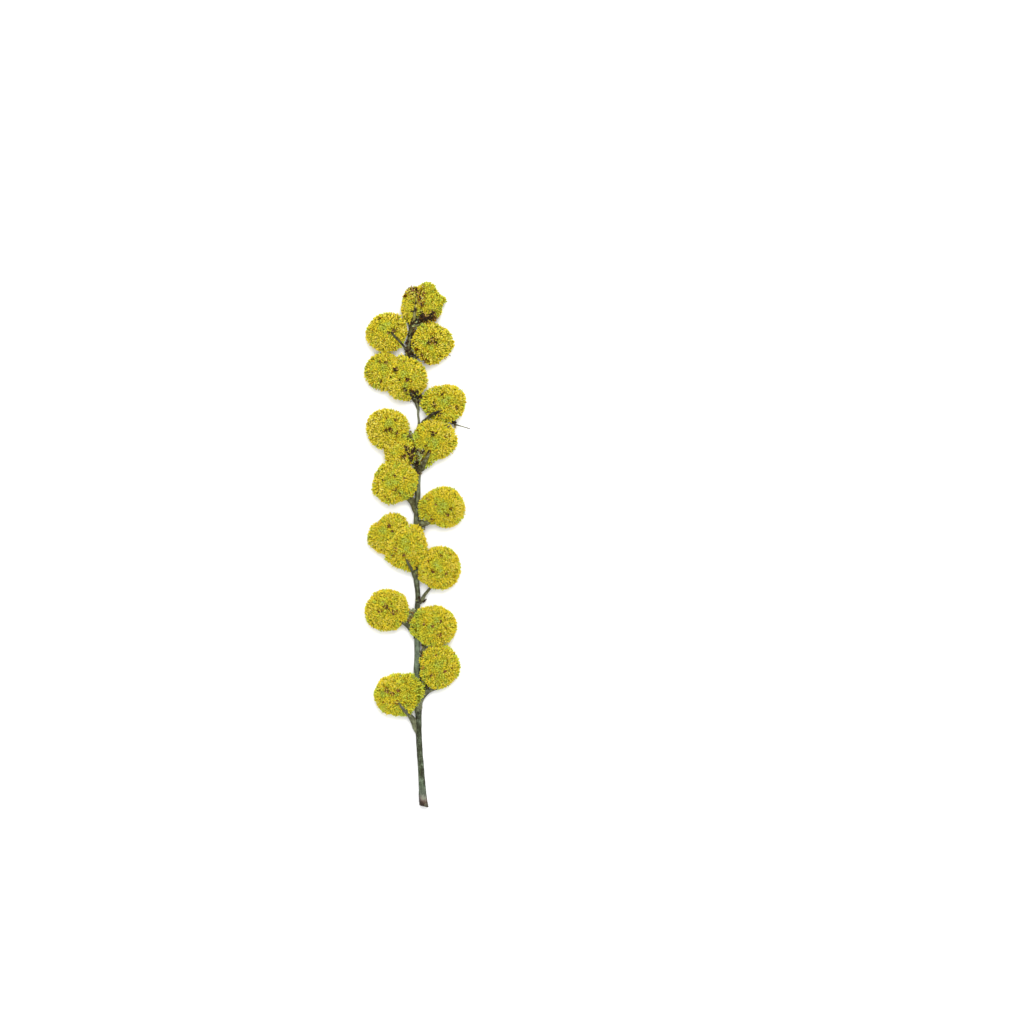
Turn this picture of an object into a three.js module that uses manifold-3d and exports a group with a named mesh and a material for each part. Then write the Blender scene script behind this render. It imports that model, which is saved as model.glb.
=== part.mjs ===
// A sprig of mimosa, pressed and dried, lying flat: one cut stem, nineteen flower stalks and the round flower
// heads that they carry, a few dried bracts and one withered bud.
//
// Units are millimetres and +Z is up. In the plan, Y runs from the cut end to the tip, and X runs across the
// stem. The finished group is moved so that the middle of its underside is at the origin.

import * as THREE from "three";
import { mergeVertices } from "three/addons/utils/BufferGeometryUtils.js";
import Module from "manifold-3d";

const wasm = await Module();
wasm.setup();

// ---------------------------------------------------------------------------------------------------------
// Driving dimensions

const CLEARANCE = 0.06; // between a piece and its neighbour
const HEAD_THICKNESS = 2.3; // of a pressed flower head
const LOW_HEAD_THICKNESS = 2.0; // of one that its neighbour lies on
const THIN_HEAD_THICKNESS = 1.7; // of the one that the stem's tip lies on
const EDGE_FULLNESS = 0.8; // below 1 a head's edge is fuller than an ellipse
const UNDERSIDE = 0.7; // where the flat underside cuts a head, of its half height
const OVERHANG_SLOPE = 0.75; // sideways run for each unit of height where one head lies on another

const STEM_FLATNESS = 0.74; // height of the pressed stem over its width, where it lies on the ground
const STEM_UNDERSIDE = 0.8; // height of its middle line above the ground, of its half height
const TIP_LIFT = 1.2; // how far the stem's tip is held up by the head beneath it
const TIP_LIFT_FROM = 80.0; // the lift starts and ends at these places along the stem
const TIP_LIFT_TO = 82.5;

const STALK_WIDTH = 0.6; // at its base, unless a head says otherwise
const STALK_END_WIDTH = 0.42;
const STALK_RISE = [0, 0.25, 0.75, 1]; // share of its climb at each point of a stalk's route

const BRACT_LENGTH = 0.95;
const BRACT_WIDTH = 0.5;
const BRACT_THICKNESS = 0.3;
const BRACT_HEIGHT = 0.42; // of its middle above the ground

const THREAD_WIDTH = 0.16;

const STEM_SIDES = 8;
const STALK_SIDES = 6;
const STALK_STEPS = 6;
const HEAD_SEGMENTS = 16;
const HEAD_RINGS = 7;
const THREAD_SIDES = 5;
const THREAD_STEPS = 6;

const UP = new THREE.Vector3(0, 0, 1);

// The stem's middle line from the cut end to the tip, with its width: x, y, width.
const STEM_ROUTE = [
  [1.0, 0.0, 1.4],
  [0.88, 1.2, 1.15],
  [0.75, 2.8, 1.1],
  [0.5, 6.1, 1.05],
  [0.25, 9.4, 1.0],
  [0.1, 12.8, 1.0],
  [0.1, 16.1, 1.05],
  [0.1, 18.5, 1.15],
  [-0.15, 22.4, 1.15],
  [-0.1, 25.3, 1.02],
  [-0.15, 28.0, 0.98],
  [-0.15, 30.3, 0.96],
  [-0.1, 33.0, 0.92],
  [-0.02, 35.6, 0.85],
  [-0.2, 37.8, 0.9],
  [-0.35, 39.8, 0.95],
  [-0.15, 43.6, 0.85],
  [-0.3, 46.5, 0.9],
  [-0.2, 49.5, 0.8],
  [0.03, 52.8, 0.75],
  [0.1, 55.6, 0.68],
  [-0.1, 58.2, 0.65],
  [-0.25, 60.6, 0.6],
  [0.0, 62.8, 0.52],
  [0.25, 64.2, 0.5],
  [0.0, 66.3, 0.48],
  [-0.5, 68.3, 0.65],
  [-0.95, 70.2, 0.6],
  [-1.4, 72.8, 0.52],
  [-1.5, 75.1, 0.52],
  [-1.15, 77.5, 0.5],
  [-0.65, 79.8, 0.6],
  [-0.45, 82.0, 0.66],
  [-0.48, 84.0, 0.6],
  [-0.55, 85.2, 0.45],
];

// The flower heads from the cut end to the tip. centre is in plan, and half is the half width along X and Y.
// A lobe is a tuft that stands out beyond the round outline: its direction in degrees from +X, how far it
// stands out and its half width in degrees. stalk is the route in plan from the stem's middle to the head's
// heart, stalkWidth its width at the stem, and climb how high its end lies in the head, 1 being the top. A head
// with a higher layer lies on its neighbour.
const HEADS = [
  {
    centre: [-3.85, 18.65],
    half: [3.3, 3.5],
    lobes: [{ towards: 13, out: 1.8, spread: 40 }],
    stalk: [[-0.15, 12.6], [-1.35, 14.6], [-2.65, 16.6], [-3.6, 18.0]],
    climb: 0.95,
    layer: 1,
  },
  {
    centre: [3.8, 23.25],
    half: [3.35, 3.7],
    stalk: [[0.35, 17.1], [1.15, 18.9], [2.15, 19.75], [3.2, 21.4]],
    stalkWidth: 0.8,
    climb: 0.6,
  },
  {
    centre: [3.2, 30.25],
    half: [3.3, 3.4],
    lobes: [{ towards: 198, out: 1.25, spread: 48 }],
    stalk: [[0.15, 24.75], [1.0, 26.4], [1.65, 27.75], [2.55, 29.3]],
    climb: 0.9,
    layer: 1,
  },
  {
    centre: [-5.3, 32.75],
    half: [3.6, 3.4],
    stalk: [[-0.65, 28.4], [-1.5, 29.75], [-2.65, 30.75], [-4.1, 31.9]],
    climb: 0.7,
  },
  {
    centre: [3.6, 39.7],
    half: [3.5, 3.6],
    stalk: [[0.35, 33.75], [1.0, 35.1], [2.15, 36.6], [3.0, 38.2]],
    climb: 0.6,
  },
  {
    centre: [-4.95, 45.5],
    half: [3.4, 3.3],
    lobes: [{ towards: 55, out: 0.5, spread: 35 }],
    thickness: LOW_HEAD_THICKNESS,
    stalk: [[-0.35, 40.75], [-1.85, 42.4], [-3.5, 44.1], [-4.4, 45.1]],
    climb: 0.45,
    layer: -1,
  },
  {
    centre: [-2.1, 43.35],
    half: [3.65, 3.75],
    stalk: [[-0.35, 38.1], [-1.15, 39.75], [-1.85, 41.1], [-2.15, 42.3]],
    climb: 0.95,
    layer: 1,
  },
  {
    centre: [4.5, 49.75],
    half: [3.4, 3.4],
    lobes: [{ towards: 182, out: 0.95, spread: 42 }],
    stalk: [[-0.1, 45.6], [0.9, 46.6], [2.1, 47.5], [3.3, 48.8]],
    stalkWidth: 0.85,
    climb: 0.75,
  },
  {
    centre: [-3.85, 54.0],
    half: [3.75, 3.8],
    stalk: [[-0.5, 48.6], [-1.25, 50.5], [-2.1, 51.7], [-3.1, 53.0]],
    stalkWidth: 0.8,
    climb: 0.65,
    layer: 1,
  },
  {
    centre: [-3.0, 59.1],
    half: [2.8, 2.7],
    thickness: LOW_HEAD_THICKNESS,
    stalk: [[-0.15, 55.75], [-0.9, 57.4], [-1.4, 58.3], [-2.1, 59.1]],
    climb: 0.95,
    layer: -1,
  },
  {
    centre: [-4.9, 62.9],
    half: [3.55, 3.55],
    stalk: [[-0.15, 58.4], [-1.0, 60.1], [-2.5, 61.4], [-3.9, 62.2]],
    climb: 0.85,
  },
  {
    centre: [2.95, 60.9],
    half: [3.7, 3.5],
    lobes: [{ towards: 245, out: 1.6, spread: 22 }],
    stalk: [[0.15, 55.6], [1.0, 57.25], [1.85, 58.75], [2.35, 60.1]],
    stalkWidth: 0.7,
    climb: 0.9,
    layer: 1,
  },
  {
    centre: [4.5, 67.4],
    half: [3.55, 3.2],
    lobes: [{ towards: 180, out: 0.6, spread: 36 }],
    stalk: [[0.3, 63.6], [1.3, 64.45], [2.6, 65.5], [4.2, 66.0]],
    stalkWidth: 0.72,
    climb: 0.95,
  },
  {
    centre: [-5.65, 72.75],
    half: [3.25, 3.2],
    thickness: LOW_HEAD_THICKNESS,
    stalk: [[-0.85, 68.75], [-2.35, 70.1], [-4.0, 71.4], [-4.9, 72.1]],
    climb: 0.4,
    layer: -1,
  },
  {
    centre: [-2.0, 71.4],
    half: [3.6, 3.65],
    stalk: [[-0.35, 67.1], [-1.0, 68.4], [-1.5, 69.75], [-1.7, 70.8]],
    climb: 0.95,
    layer: 1,
  },
  {
    centre: [-5.3, 79.2],
    half: [3.4, 3.25],
    lobes: [{ towards: 40, out: 0.45, spread: 40 }],
    stalk: [[-1.5, 75.4], [-2.5, 76.9], [-3.65, 78.1], [-4.4, 79.0]],
    climb: 0.85,
  },
  {
    centre: [2.6, 77.2],
    half: [3.55, 3.5],
    stalk: [[-1.35, 74.1], [-0.35, 74.9], [1.0, 75.75], [2.1, 76.8]],
    climb: 0.75,
  },
  {
    centre: [-1.0, 83.8],
    half: [1.6, 3.0],
    lobes: [{ towards: 240, out: 0.3, spread: 30 }],
    thickness: THIN_HEAD_THICKNESS,
    stalk: [[-1.0, 79.4], [-1.5, 80.7], [-1.7, 82.2], [-1.6, 83.2]],
    climb: 0.7,
    layer: -1,
  },
  {
    centre: [1.75, 84.0],
    half: [2.05, 3.45],
    lobes: [{ towards: 8, out: 0.85, spread: 16 }],
    stalk: [[-0.65, 80.4], [0.5, 81.4], [1.3, 82.6], [1.8, 83.6]],
    climb: 0.9,
    layer: 1,
  },
];

// The bracts where stalks leave the stem: where each is rooted in plan, and where it points, in degrees from +X.
// The last is a long one, curled over the foot of the topmost head.
const BRACTS = [
  { root: [0.75, 19.25], points: 52 },
  { root: [0.42, 23.2], points: 40 },
  { root: [0.45, 25.2], points: 10 },
  { root: [0.7, 34.0], points: 38 },
  { root: [0.5, 46.15], points: 5 },
  { root: [0.1, 39.1], points: 70 },
  { root: [0.15, 68.0], points: 10 },
  { root: [0.6, 81.35], points: -6, length: 2.3, width: 0.9, height: 1.2 },
];

const WITHERED_BUD = { centre: [5.85, 64.05, 1.0], half: [0.55, 0.38, 0.36] };
const THREAD_ROUTE = [[5.9, 64.0, 1.0], [6.4, 63.65, 0.9], [7.4, 63.4, 0.6], [8.7, 63.0, 0.16]];

// ---------------------------------------------------------------------------------------------------------
// Solids: geometries become manifold solids where one is cut to clear another, and come back as geometries

function toSolid(geometry) {
  const bare = geometry.clone();
  bare.deleteAttribute("normal");
  bare.deleteAttribute("uv");
  const merged = mergeVertices(bare, 1e-5);
  const vertProperties = merged.attributes.position.array;
  const triVerts = Uint32Array.from(merged.index.array);
  return new wasm.Manifold(new wasm.Mesh({ numProp: 3, vertProperties, triVerts }));
}

function largestBody(solid) {
  return solid.decompose().reduce((best, body) => (body.volume() > best.volume() ? body : best));
}

function toGeometry(solid) {
  const mesh = solid.getMesh();
  const geometry = new THREE.BufferGeometry();
  geometry.setAttribute("position", new THREE.BufferAttribute(Float32Array.from(mesh.vertProperties), 3));
  geometry.setIndex(Array.from(mesh.triVerts));
  geometry.computeVertexNormals();
  return geometry;
}

// ---------------------------------------------------------------------------------------------------------
// Tubes: a cylinder bent along a route, its section kept upright and pressed flat where it meets the ground

// A smooth curve through a route's points, made longer at both ends by grow.
function routeCurve(points, grow) {
  const ends = [[0, 1], [points.length - 1, points.length - 2]];
  const longer = points.map((point) => point.clone());
  for (const [end, next] of ends) {
    longer[end].addScaledVector(points[end].clone().sub(points[next]).normalize(), grow);
  }
  return new THREE.CatmullRomCurve3(longer);
}

// sectionAt(share) gives { wide, high }, the half width and the half height. ground is the lowest height.
function bentTube(curve, sides, steps, ground, sectionAt) {
  const geometry = new THREE.CylinderGeometry(1, 1, 1, sides, steps);
  const place = geometry.attributes.position;
  for (let i = 0; i < place.count; i += 1) {
    const share = place.getY(i) + 0.5;
    const section = sectionAt(share);
    const side = new THREE.Vector3().crossVectors(curve.getTangent(share), UP).normalize();
    const point = curve.getPoint(share);
    point.addScaledVector(side, place.getX(i) * section.wide);
    point.addScaledVector(UP, place.getZ(i) * section.high);
    place.setXYZ(i, point.x, point.y, Math.max(point.z, ground));
  }
  return geometry;
}

function stemHalfHeight(width) {
  return (width * STEM_FLATNESS) / (1 + STEM_UNDERSIDE);
}

function stemMiddleHeight(along, width) {
  const lift = TIP_LIFT * THREE.MathUtils.smoothstep(along, TIP_LIFT_FROM, TIP_LIFT_TO);
  return lift + stemHalfHeight(width) * STEM_UNDERSIDE;
}

// The stem's height at any place along it, for the stalks that start in it.
function stemHeightAt(along) {
  const next = STEM_ROUTE.findIndex(([, y]) => y > along);
  const [, y0, width0] = STEM_ROUTE[next - 1];
  const [, y1, width1] = STEM_ROUTE[next];
  const width = THREE.MathUtils.lerp(width0, width1, (along - y0) / (y1 - y0));
  return stemMiddleHeight(along, width);
}

function stemGeometry(grow) {
  const points = STEM_ROUTE.map(([x, y, width]) => new THREE.Vector3(x, y, stemMiddleHeight(y, width)));
  const steps = STEM_ROUTE.length - 1;
  return bentTube(routeCurve(points, grow), STEM_SIDES, steps, -grow, (share) => {
    const width = STEM_ROUTE[Math.round(share * steps)][2];
    return { wide: width / 2 + grow, high: stemHalfHeight(width) + grow };
  });
}

function thicknessOf(head) {
  return head.thickness ?? HEAD_THICKNESS;
}

function stalkGeometry(head, grow) {
  const from = stemHeightAt(head.stalk[0][1]);
  const to = thicknessOf(head) * head.climb;
  const points = head.stalk.map(
    ([x, y], i) => new THREE.Vector3(x, y, THREE.MathUtils.lerp(from, to, STALK_RISE[i])),
  );
  return bentTube(routeCurve(points, grow), STALK_SIDES, STALK_STEPS, -grow, (share) => {
    const radius = THREE.MathUtils.lerp(head.stalkWidth ?? STALK_WIDTH, STALK_END_WIDTH, share) / 2 + grow;
    return { wide: radius, high: radius };
  });
}

// ---------------------------------------------------------------------------------------------------------
// Flower heads: a ball pressed to a disc with a flat underside and an uneven round outline

// How far the outline is from the head's centre towards an angle in radians.
function reachTowards(head, angle) {
  const [across, along] = head.half;
  const round = 1 / Math.hypot(Math.cos(angle) / across, Math.sin(angle) / along);
  return (head.lobes ?? []).reduce((reach, lobe) => {
    const turn = angle - THREE.MathUtils.degToRad(lobe.towards);
    const off = Math.atan2(Math.sin(turn), Math.cos(turn)) / THREE.MathUtils.degToRad(lobe.spread);
    return reach + lobe.out * Math.exp(-off * off);
  }, round);
}

// The slanted planes that part a head from its neighbours. Each holds the point midway between their edges, and
// leans out over the head that lies lower.
function partingPlanes(head) {
  const planes = [];
  for (const other of HEADS) {
    const gap = new THREE.Vector2(other.centre[0] - head.centre[0], other.centre[1] - head.centre[1]);
    const angle = Math.atan2(gap.y, gap.x);
    const ours = reachTowards(head, angle);
    const theirs = reachTowards(other, angle + Math.PI);
    if (other === head || gap.length() > ours + theirs + 1) {
      continue;
    }
    const lean = Math.sign((head.layer ?? 0) - (other.layer ?? 0)) * OVERHANG_SLOPE;
    planes.push({ towards: gap.clone().normalize(), from: (gap.length() + ours - theirs) / 2, lean });
  }
  return planes;
}

// How far a head may reach in a plan direction at a height, so that it stays on its side of each plane.
function allowedReach(planes, direction, height) {
  return planes.reduce((reach, plane) => {
    const facing = plane.towards.dot(direction);
    const edge = plane.from + plane.lean * (height - HEAD_THICKNESS / 2) - CLEARANCE;
    return facing > 1e-6 ? Math.min(reach, edge / facing) : reach;
  }, Infinity);
}

function headGeometry(head) {
  const halfHeight = thicknessOf(head) / (1 + UNDERSIDE);
  const planes = partingPlanes(head);
  const geometry = new THREE.SphereGeometry(1, HEAD_SEGMENTS, HEAD_RINGS);
  geometry.rotateX(Math.PI / 2);
  const place = geometry.attributes.position;
  for (let i = 0; i < place.count; i += 1) {
    const direction = new THREE.Vector2(place.getX(i), place.getY(i));
    const out = direction.length();
    const level = Math.sign(place.getZ(i)) * Math.abs(place.getZ(i)) ** EDGE_FULLNESS;
    const height = (Math.max(level, -UNDERSIDE) + UNDERSIDE) * halfHeight;
    if (out > 1e-6) {
      direction.divideScalar(out);
    }
    const wanted = reachTowards(head, Math.atan2(direction.y, direction.x)) * out ** EDGE_FULLNESS;
    direction.multiplyScalar(out > 1e-6 ? Math.min(wanted, allowedReach(planes, direction, height)) : 0);
    place.setXYZ(i, head.centre[0] + direction.x, head.centre[1] + direction.y, height);
  }
  return geometry;
}

// ---------------------------------------------------------------------------------------------------------
// Bracts and the withered bud

// A small scale: a flattened ball with one end drawn out to a point, lying along its direction.
function bractGeometry(bract, grow) {
  const geometry = new THREE.SphereGeometry(0.5, 6, 4);
  const place = geometry.attributes.position;
  for (let i = 0; i < place.count; i += 1) {
    const narrowing = 1 - 0.7 * Math.max(place.getX(i), 0);
    place.setY(i, place.getY(i) * narrowing);
  }
  const length = bract.length ?? BRACT_LENGTH;
  const width = bract.width ?? BRACT_WIDTH;
  geometry.scale(length + 2 * grow, width + 2 * grow, BRACT_THICKNESS + 2 * grow);
  geometry.translate(length / 2, 0, 0);
  geometry.rotateZ(THREE.MathUtils.degToRad(bract.points));
  geometry.translate(bract.root[0], bract.root[1], bract.height ?? BRACT_HEIGHT);
  return geometry;
}

function witheredBudSolid(grow) {
  const bud = new THREE.SphereGeometry(1, 8, 5);
  bud.scale(...WITHERED_BUD.half.map((half) => half + grow));
  bud.translate(...WITHERED_BUD.centre);
  const route = routeCurve(THREAD_ROUTE.map((point) => new THREE.Vector3(...point)), grow);
  const radius = THREAD_WIDTH / 2 + grow;
  const thread = bentTube(route, THREAD_SIDES, THREAD_STEPS, -grow, () => ({ wide: radius, high: radius }));
  return toSolid(bud).add(toSolid(thread));
}

// ---------------------------------------------------------------------------------------------------------
// Assembly

const stem = toSolid(stemGeometry(0));
const stemSpace = toSolid(stemGeometry(CLEARANCE));
const stalks = HEADS.map((head) => toSolid(stalkGeometry(head, 0)).subtract(stemSpace));
const stalkSpace = wasm.Manifold.union(HEADS.map((head) => toSolid(stalkGeometry(head, CLEARANCE))));
const twigSpace = stemSpace.add(stalkSpace);
const bracts = BRACTS.map((bract) => toSolid(bractGeometry(bract, 0)).subtract(twigSpace));
const bractSpace = wasm.Manifold.union(BRACTS.map((bract) => toSolid(bractGeometry(bract, CLEARANCE))));
const headless = twigSpace.add(bractSpace).add(witheredBudSolid(CLEARANCE));
const heads = HEADS.map((head) => toSolid(headGeometry(head)).subtract(headless));

const sprig = new THREE.Group();

function addPiece(name, solid, colour) {
  const material = new THREE.MeshStandardMaterial({ color: colour, roughness: 0.85, metalness: 0 });
  const piece = new THREE.Mesh(toGeometry(largestBody(solid)), material);
  piece.name = name;
  sprig.add(piece);
}

function numbered(name, i) {
  return `${name}_${String(i + 1).padStart(2, "0")}`;
}

addPiece("main_stem", stem, 0x5f6b52);
stalks.forEach((solid, i) => addPiece(numbered("flower_stalk", i), solid, 0x66684a));
heads.forEach((solid, i) => addPiece(numbered("flower_head", i), solid, 0xc4b436));
bracts.forEach((solid, i) => addPiece(numbered("bract", i), solid, 0x4a3c26));
addPiece("withered_bud", witheredBudSolid(0), 0x3f3524);

// The origin is the middle of the underside of the whole sprig.
const box = new THREE.Box3().setFromObject(sprig);
const middle = box.getCenter(new THREE.Vector3());
sprig.position.set(-middle.x, -middle.y, -box.min.z);

export default sprig;
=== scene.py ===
"""A sprig of mimosa, pressed and dried, that lies flat on a pale floor.

It is one cut stem with nineteen flower stalks, the round flower heads that they carry, a few dried bracts
and a withered bud. Each head is built as it grows: a heart, the little florets on it, and the stamens that
fan out of every floret to the head's surface.

Sizes are millimetres in the sprig's plan, where Y runs along the stem from its cut end, X across it and Z up.
to_frame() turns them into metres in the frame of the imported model.
"""

import logging
import math
from collections.abc import Callable, Sequence
from dataclasses import dataclass, field
from enum import Enum

import bmesh
import bpy
import numpy as np
from mathutils import Matrix, Vector, noise

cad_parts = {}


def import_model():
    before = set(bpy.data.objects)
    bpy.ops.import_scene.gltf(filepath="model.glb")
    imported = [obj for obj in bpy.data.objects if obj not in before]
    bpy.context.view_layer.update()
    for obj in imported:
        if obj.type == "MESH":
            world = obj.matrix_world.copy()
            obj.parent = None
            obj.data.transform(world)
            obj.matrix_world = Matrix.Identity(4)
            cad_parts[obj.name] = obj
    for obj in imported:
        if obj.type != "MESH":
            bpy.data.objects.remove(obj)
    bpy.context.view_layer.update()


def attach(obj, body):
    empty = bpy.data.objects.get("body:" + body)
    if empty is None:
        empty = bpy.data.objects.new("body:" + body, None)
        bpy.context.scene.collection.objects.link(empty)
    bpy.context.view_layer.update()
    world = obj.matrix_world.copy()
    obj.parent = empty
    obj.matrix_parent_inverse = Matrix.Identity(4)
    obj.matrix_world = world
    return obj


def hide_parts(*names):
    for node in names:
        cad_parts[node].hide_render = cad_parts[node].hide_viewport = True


log = logging.getLogger("mimosa_sprig")

ROOT = "root"
PLAN_ORIGIN = np.array([-0.0561, 43.6555, 0.0])  # the frame's origin, in the plan
HALF_LENGTH = 0.0437  # of the sprig, in metres
FULL_TURN = 2 * math.pi
GOLDEN_TURN = math.pi * (3 - math.sqrt(5))
EDGE_FULLNESS = 0.8  # below 1 a head's edge is fuller than an ellipse
UNDERSIDE = 0.7  # where the flat underside cuts a head, of its half height
OVERHANG_SLOPE = 0.75  # sideways run for each unit of height where one head lies on another
CLEARANCE = 0.06  # between two heads
FLOOR_GAP = 0.01  # between the floor and the lowest points of twigs and scales
HEAD_THICKNESS = 2.3
STALK_RISE = (0.0, 0.25, 0.75, 1.0)  # share of its climb at each point of a stalk's route
CUT_RIM, CUT_DEPTH = 0.00012, 0.00006  # of the stem's cut face, in metres
HEAD_AREA = 2.3  # a head's surface, of the area inside its outline
HEART_OUT = (0.84, 0.84, 0.7)  # how far out the heart's skin lies, of the head's surface
MOUTHS_OUT = (0.8, 0.8, 0.72)  # and how far out the florets' mouths are
STAMENS_BELOW, FLORETS_BELOW = 0.45, 0.5  # how dense they are underneath, of how dense on top
TWIG_CLEARANCE = 0.06  # between an anther and a twig
THREAD_RADIUS = 0.027
ANTHER_SIZE = (0.105, 0.085, 0.07)
# GLINT is the pale tone of a painted highlight on the stamens.
GOLD, BRIGHTEST, GLINT, GREEN = 0.715, 0.8, 0.86, 0.44  # tones of the stamens
FURROW_PITCH = 0.17
TWIG_STEPS, WEB_STEPS, SCALE_STEPS = 700, 400, 900  # points along the stem that others are measured from
SCALE_SEED, STAMEN_SEED, HEART_SEED = 11, 100, 500
BAKE_MAP = "OFBake"

Ramp = tuple[tuple[float, tuple[float, float, float, float]], ...]
Row = tuple[float, ...]


# ----------------------------------------------------------------------------------------------------------
# Shared shaping tools


def to_frame(points: np.ndarray) -> np.ndarray:
    """Turns points of the plan, in millimetres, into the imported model's frame, in metres."""
    return (np.asarray(points, float) - PLAN_ORIGIN) * 0.001


def table(make: Callable, *parts: Enum | Row) -> tuple:
    """Reads a table whose rows follow the kind that they are of.

    Args:
        make: Makes an entry from a kind and the numbers of a row.
        parts: The kinds, each with its rows after it.

    Returns:
        The entries in order.
    """
    made, kind = [], None
    for part in parts:
        if isinstance(part, Enum):
            kind = part
        else:
            made.append(make(kind, *part))
    return tuple(made)


def smoothstep(low: float, high: float, value: np.ndarray | float) -> np.ndarray:
    """Rises smoothly from 0 at low to 1 at high."""
    share = np.clip((np.asarray(value, float) - low) / (high - low), 0.0, 1.0)
    return share * share * (3 - 2 * share)


def ring_of(sides: int) -> np.ndarray:
    """The angles of evenly spread points round a ring."""
    return np.arange(sides) / sides * FULL_TURN


def smooth_route(points: Sequence[Sequence[float]], steps: int) -> np.ndarray:
    """Lays a smooth curve through a route's points.

    Args:
        points: The points, each with as many numbers as the result is to have.
        steps: How many points the result has, evenly spaced along the route.

    Returns:
        The curve's points, one row each.
    """
    route = np.array(points, float)
    gaps = np.linalg.norm(np.diff(route[:, :2], axis=0), axis=1)
    along = np.concatenate([[0.0], np.cumsum(gaps)])
    slope = np.gradient(route, along, axis=0)
    at = np.linspace(0.0, along[-1], steps)
    i = np.clip(np.searchsorted(along, at, "right") - 1, 0, len(route) - 2)
    span = along[i + 1] - along[i]
    s = ((at - along[i]) / span)[:, None]
    span = span[:, None]
    return (
        (2 * s**3 - 3 * s**2 + 1) * route[i]
        + (s**3 - 2 * s**2 + s) * span * slope[i]
        + (3 * s**2 - 2 * s**3) * route[i + 1]
        + (s**3 - s**2) * span * slope[i + 1]
    )


def ripple(points: np.ndarray, pitch: float, seed: int) -> np.ndarray:
    """A soft random pattern between about -1 and 1 over points, with hills about a pitch apart."""
    rng = np.random.default_rng(seed)
    total = np.zeros(len(points))
    for _ in range(5):
        wave = rng.normal(size=points.shape[1])
        wave *= rng.uniform(0.7, 1.4) * math.pi / pitch / np.linalg.norm(wave)
        total += np.sin(points @ wave + rng.uniform(0, FULL_TURN))
    return total / 2.6


def strokes(points: np.ndarray, pitch: float, seed: int) -> np.ndarray:
    """A pattern of short strokes in plan, with a spread of 1, whose lie turns slowly from place to place."""
    rng = np.random.default_rng(seed)
    plan = points[:, :2]
    lie = 2.5 * ripple(plan, 6 * pitch, seed)
    total, power = np.zeros(len(plan)), np.zeros(len(plan))
    for lean in np.arange(6) / 6 * math.pi:
        share = np.cos(lie - lean) ** 8
        turned = np.array([[math.cos(lean), math.sin(lean)], [-math.sin(lean), math.cos(lean)]])
        for _ in range(4):
            wave = np.array([rng.normal(0, 0.3), rng.uniform(0.7, 1.3)]) * math.pi / pitch @ turned
            total += share * np.sin(plan @ wave + rng.uniform(0, FULL_TURN))
        power += 2 * share**2
    return total / np.sqrt(power)


def knobbly(turn: np.ndarray, along: np.ndarray, girth: float) -> np.ndarray:
    """Soft random swellings of a twig, one for each place along it and angle round it."""
    ring = [(math.cos(t) * girth, math.sin(t) * girth) for t in turn]
    return np.array([[noise.noise((*point, at)) for point in ring] for at in along])


def frames_along(directions: np.ndarray, twist: np.ndarray) -> np.ndarray:
    """Frames whose third axis is each direction, turned about it by twist.

    Args:
        directions: One direction in each row.
        twist: The turn of each frame about its direction, in radians.

    Returns:
        Matrices whose columns are the axes.
    """
    ahead = directions / np.linalg.norm(directions, axis=1, keepdims=True)
    helper = np.where(np.abs(ahead[:, 2:]) < 0.8, [[0.0, 0.0, 1.0]], [[1.0, 0.0, 0.0]])
    side = np.cross(helper, ahead)
    side /= np.linalg.norm(side, axis=1, keepdims=True)
    other = np.cross(ahead, side)
    c, s = np.cos(twist)[:, None], np.sin(twist)[:, None]
    return np.stack([side * c + other * s, other * c - side * s, ahead], axis=2)


@dataclass(frozen=True)
class Template:
    """A small closed shape that bmesh made once, of which many copies are placed."""

    points: np.ndarray
    corners: np.ndarray
    sizes: np.ndarray

    @classmethod
    def of(cls, bm: bmesh.types.BMesh) -> "Template":
        """Reads a finished bmesh and frees it."""
        bmesh.ops.recalc_face_normals(bm, faces=bm.faces)
        bm.verts.index_update()
        points = np.array([v.co for v in bm.verts], float)
        corners = np.array([v.index for f in bm.faces for v in f.verts], np.int32)
        sizes = np.array([len(f.verts) for f in bm.faces], np.int32)
        bm.free()
        return cls(points, corners, sizes)

    def placed(self, middles: np.ndarray, frames: np.ndarray, sizes: np.ndarray) -> np.ndarray:
        """Places a copy at each middle.

        Args:
            middles: Where each copy's origin goes.
            frames: The axes of each copy.
            sizes: The scale of each copy along its three axes.

        Returns:
            The points of every copy, as copies by points by 3.
        """
        local = self.points[None] * np.asarray(sizes, float).reshape(len(middles), 1, -1)
        return middles[:, None] + np.einsum("nij,nvj->nvi", frames, local)


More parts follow.
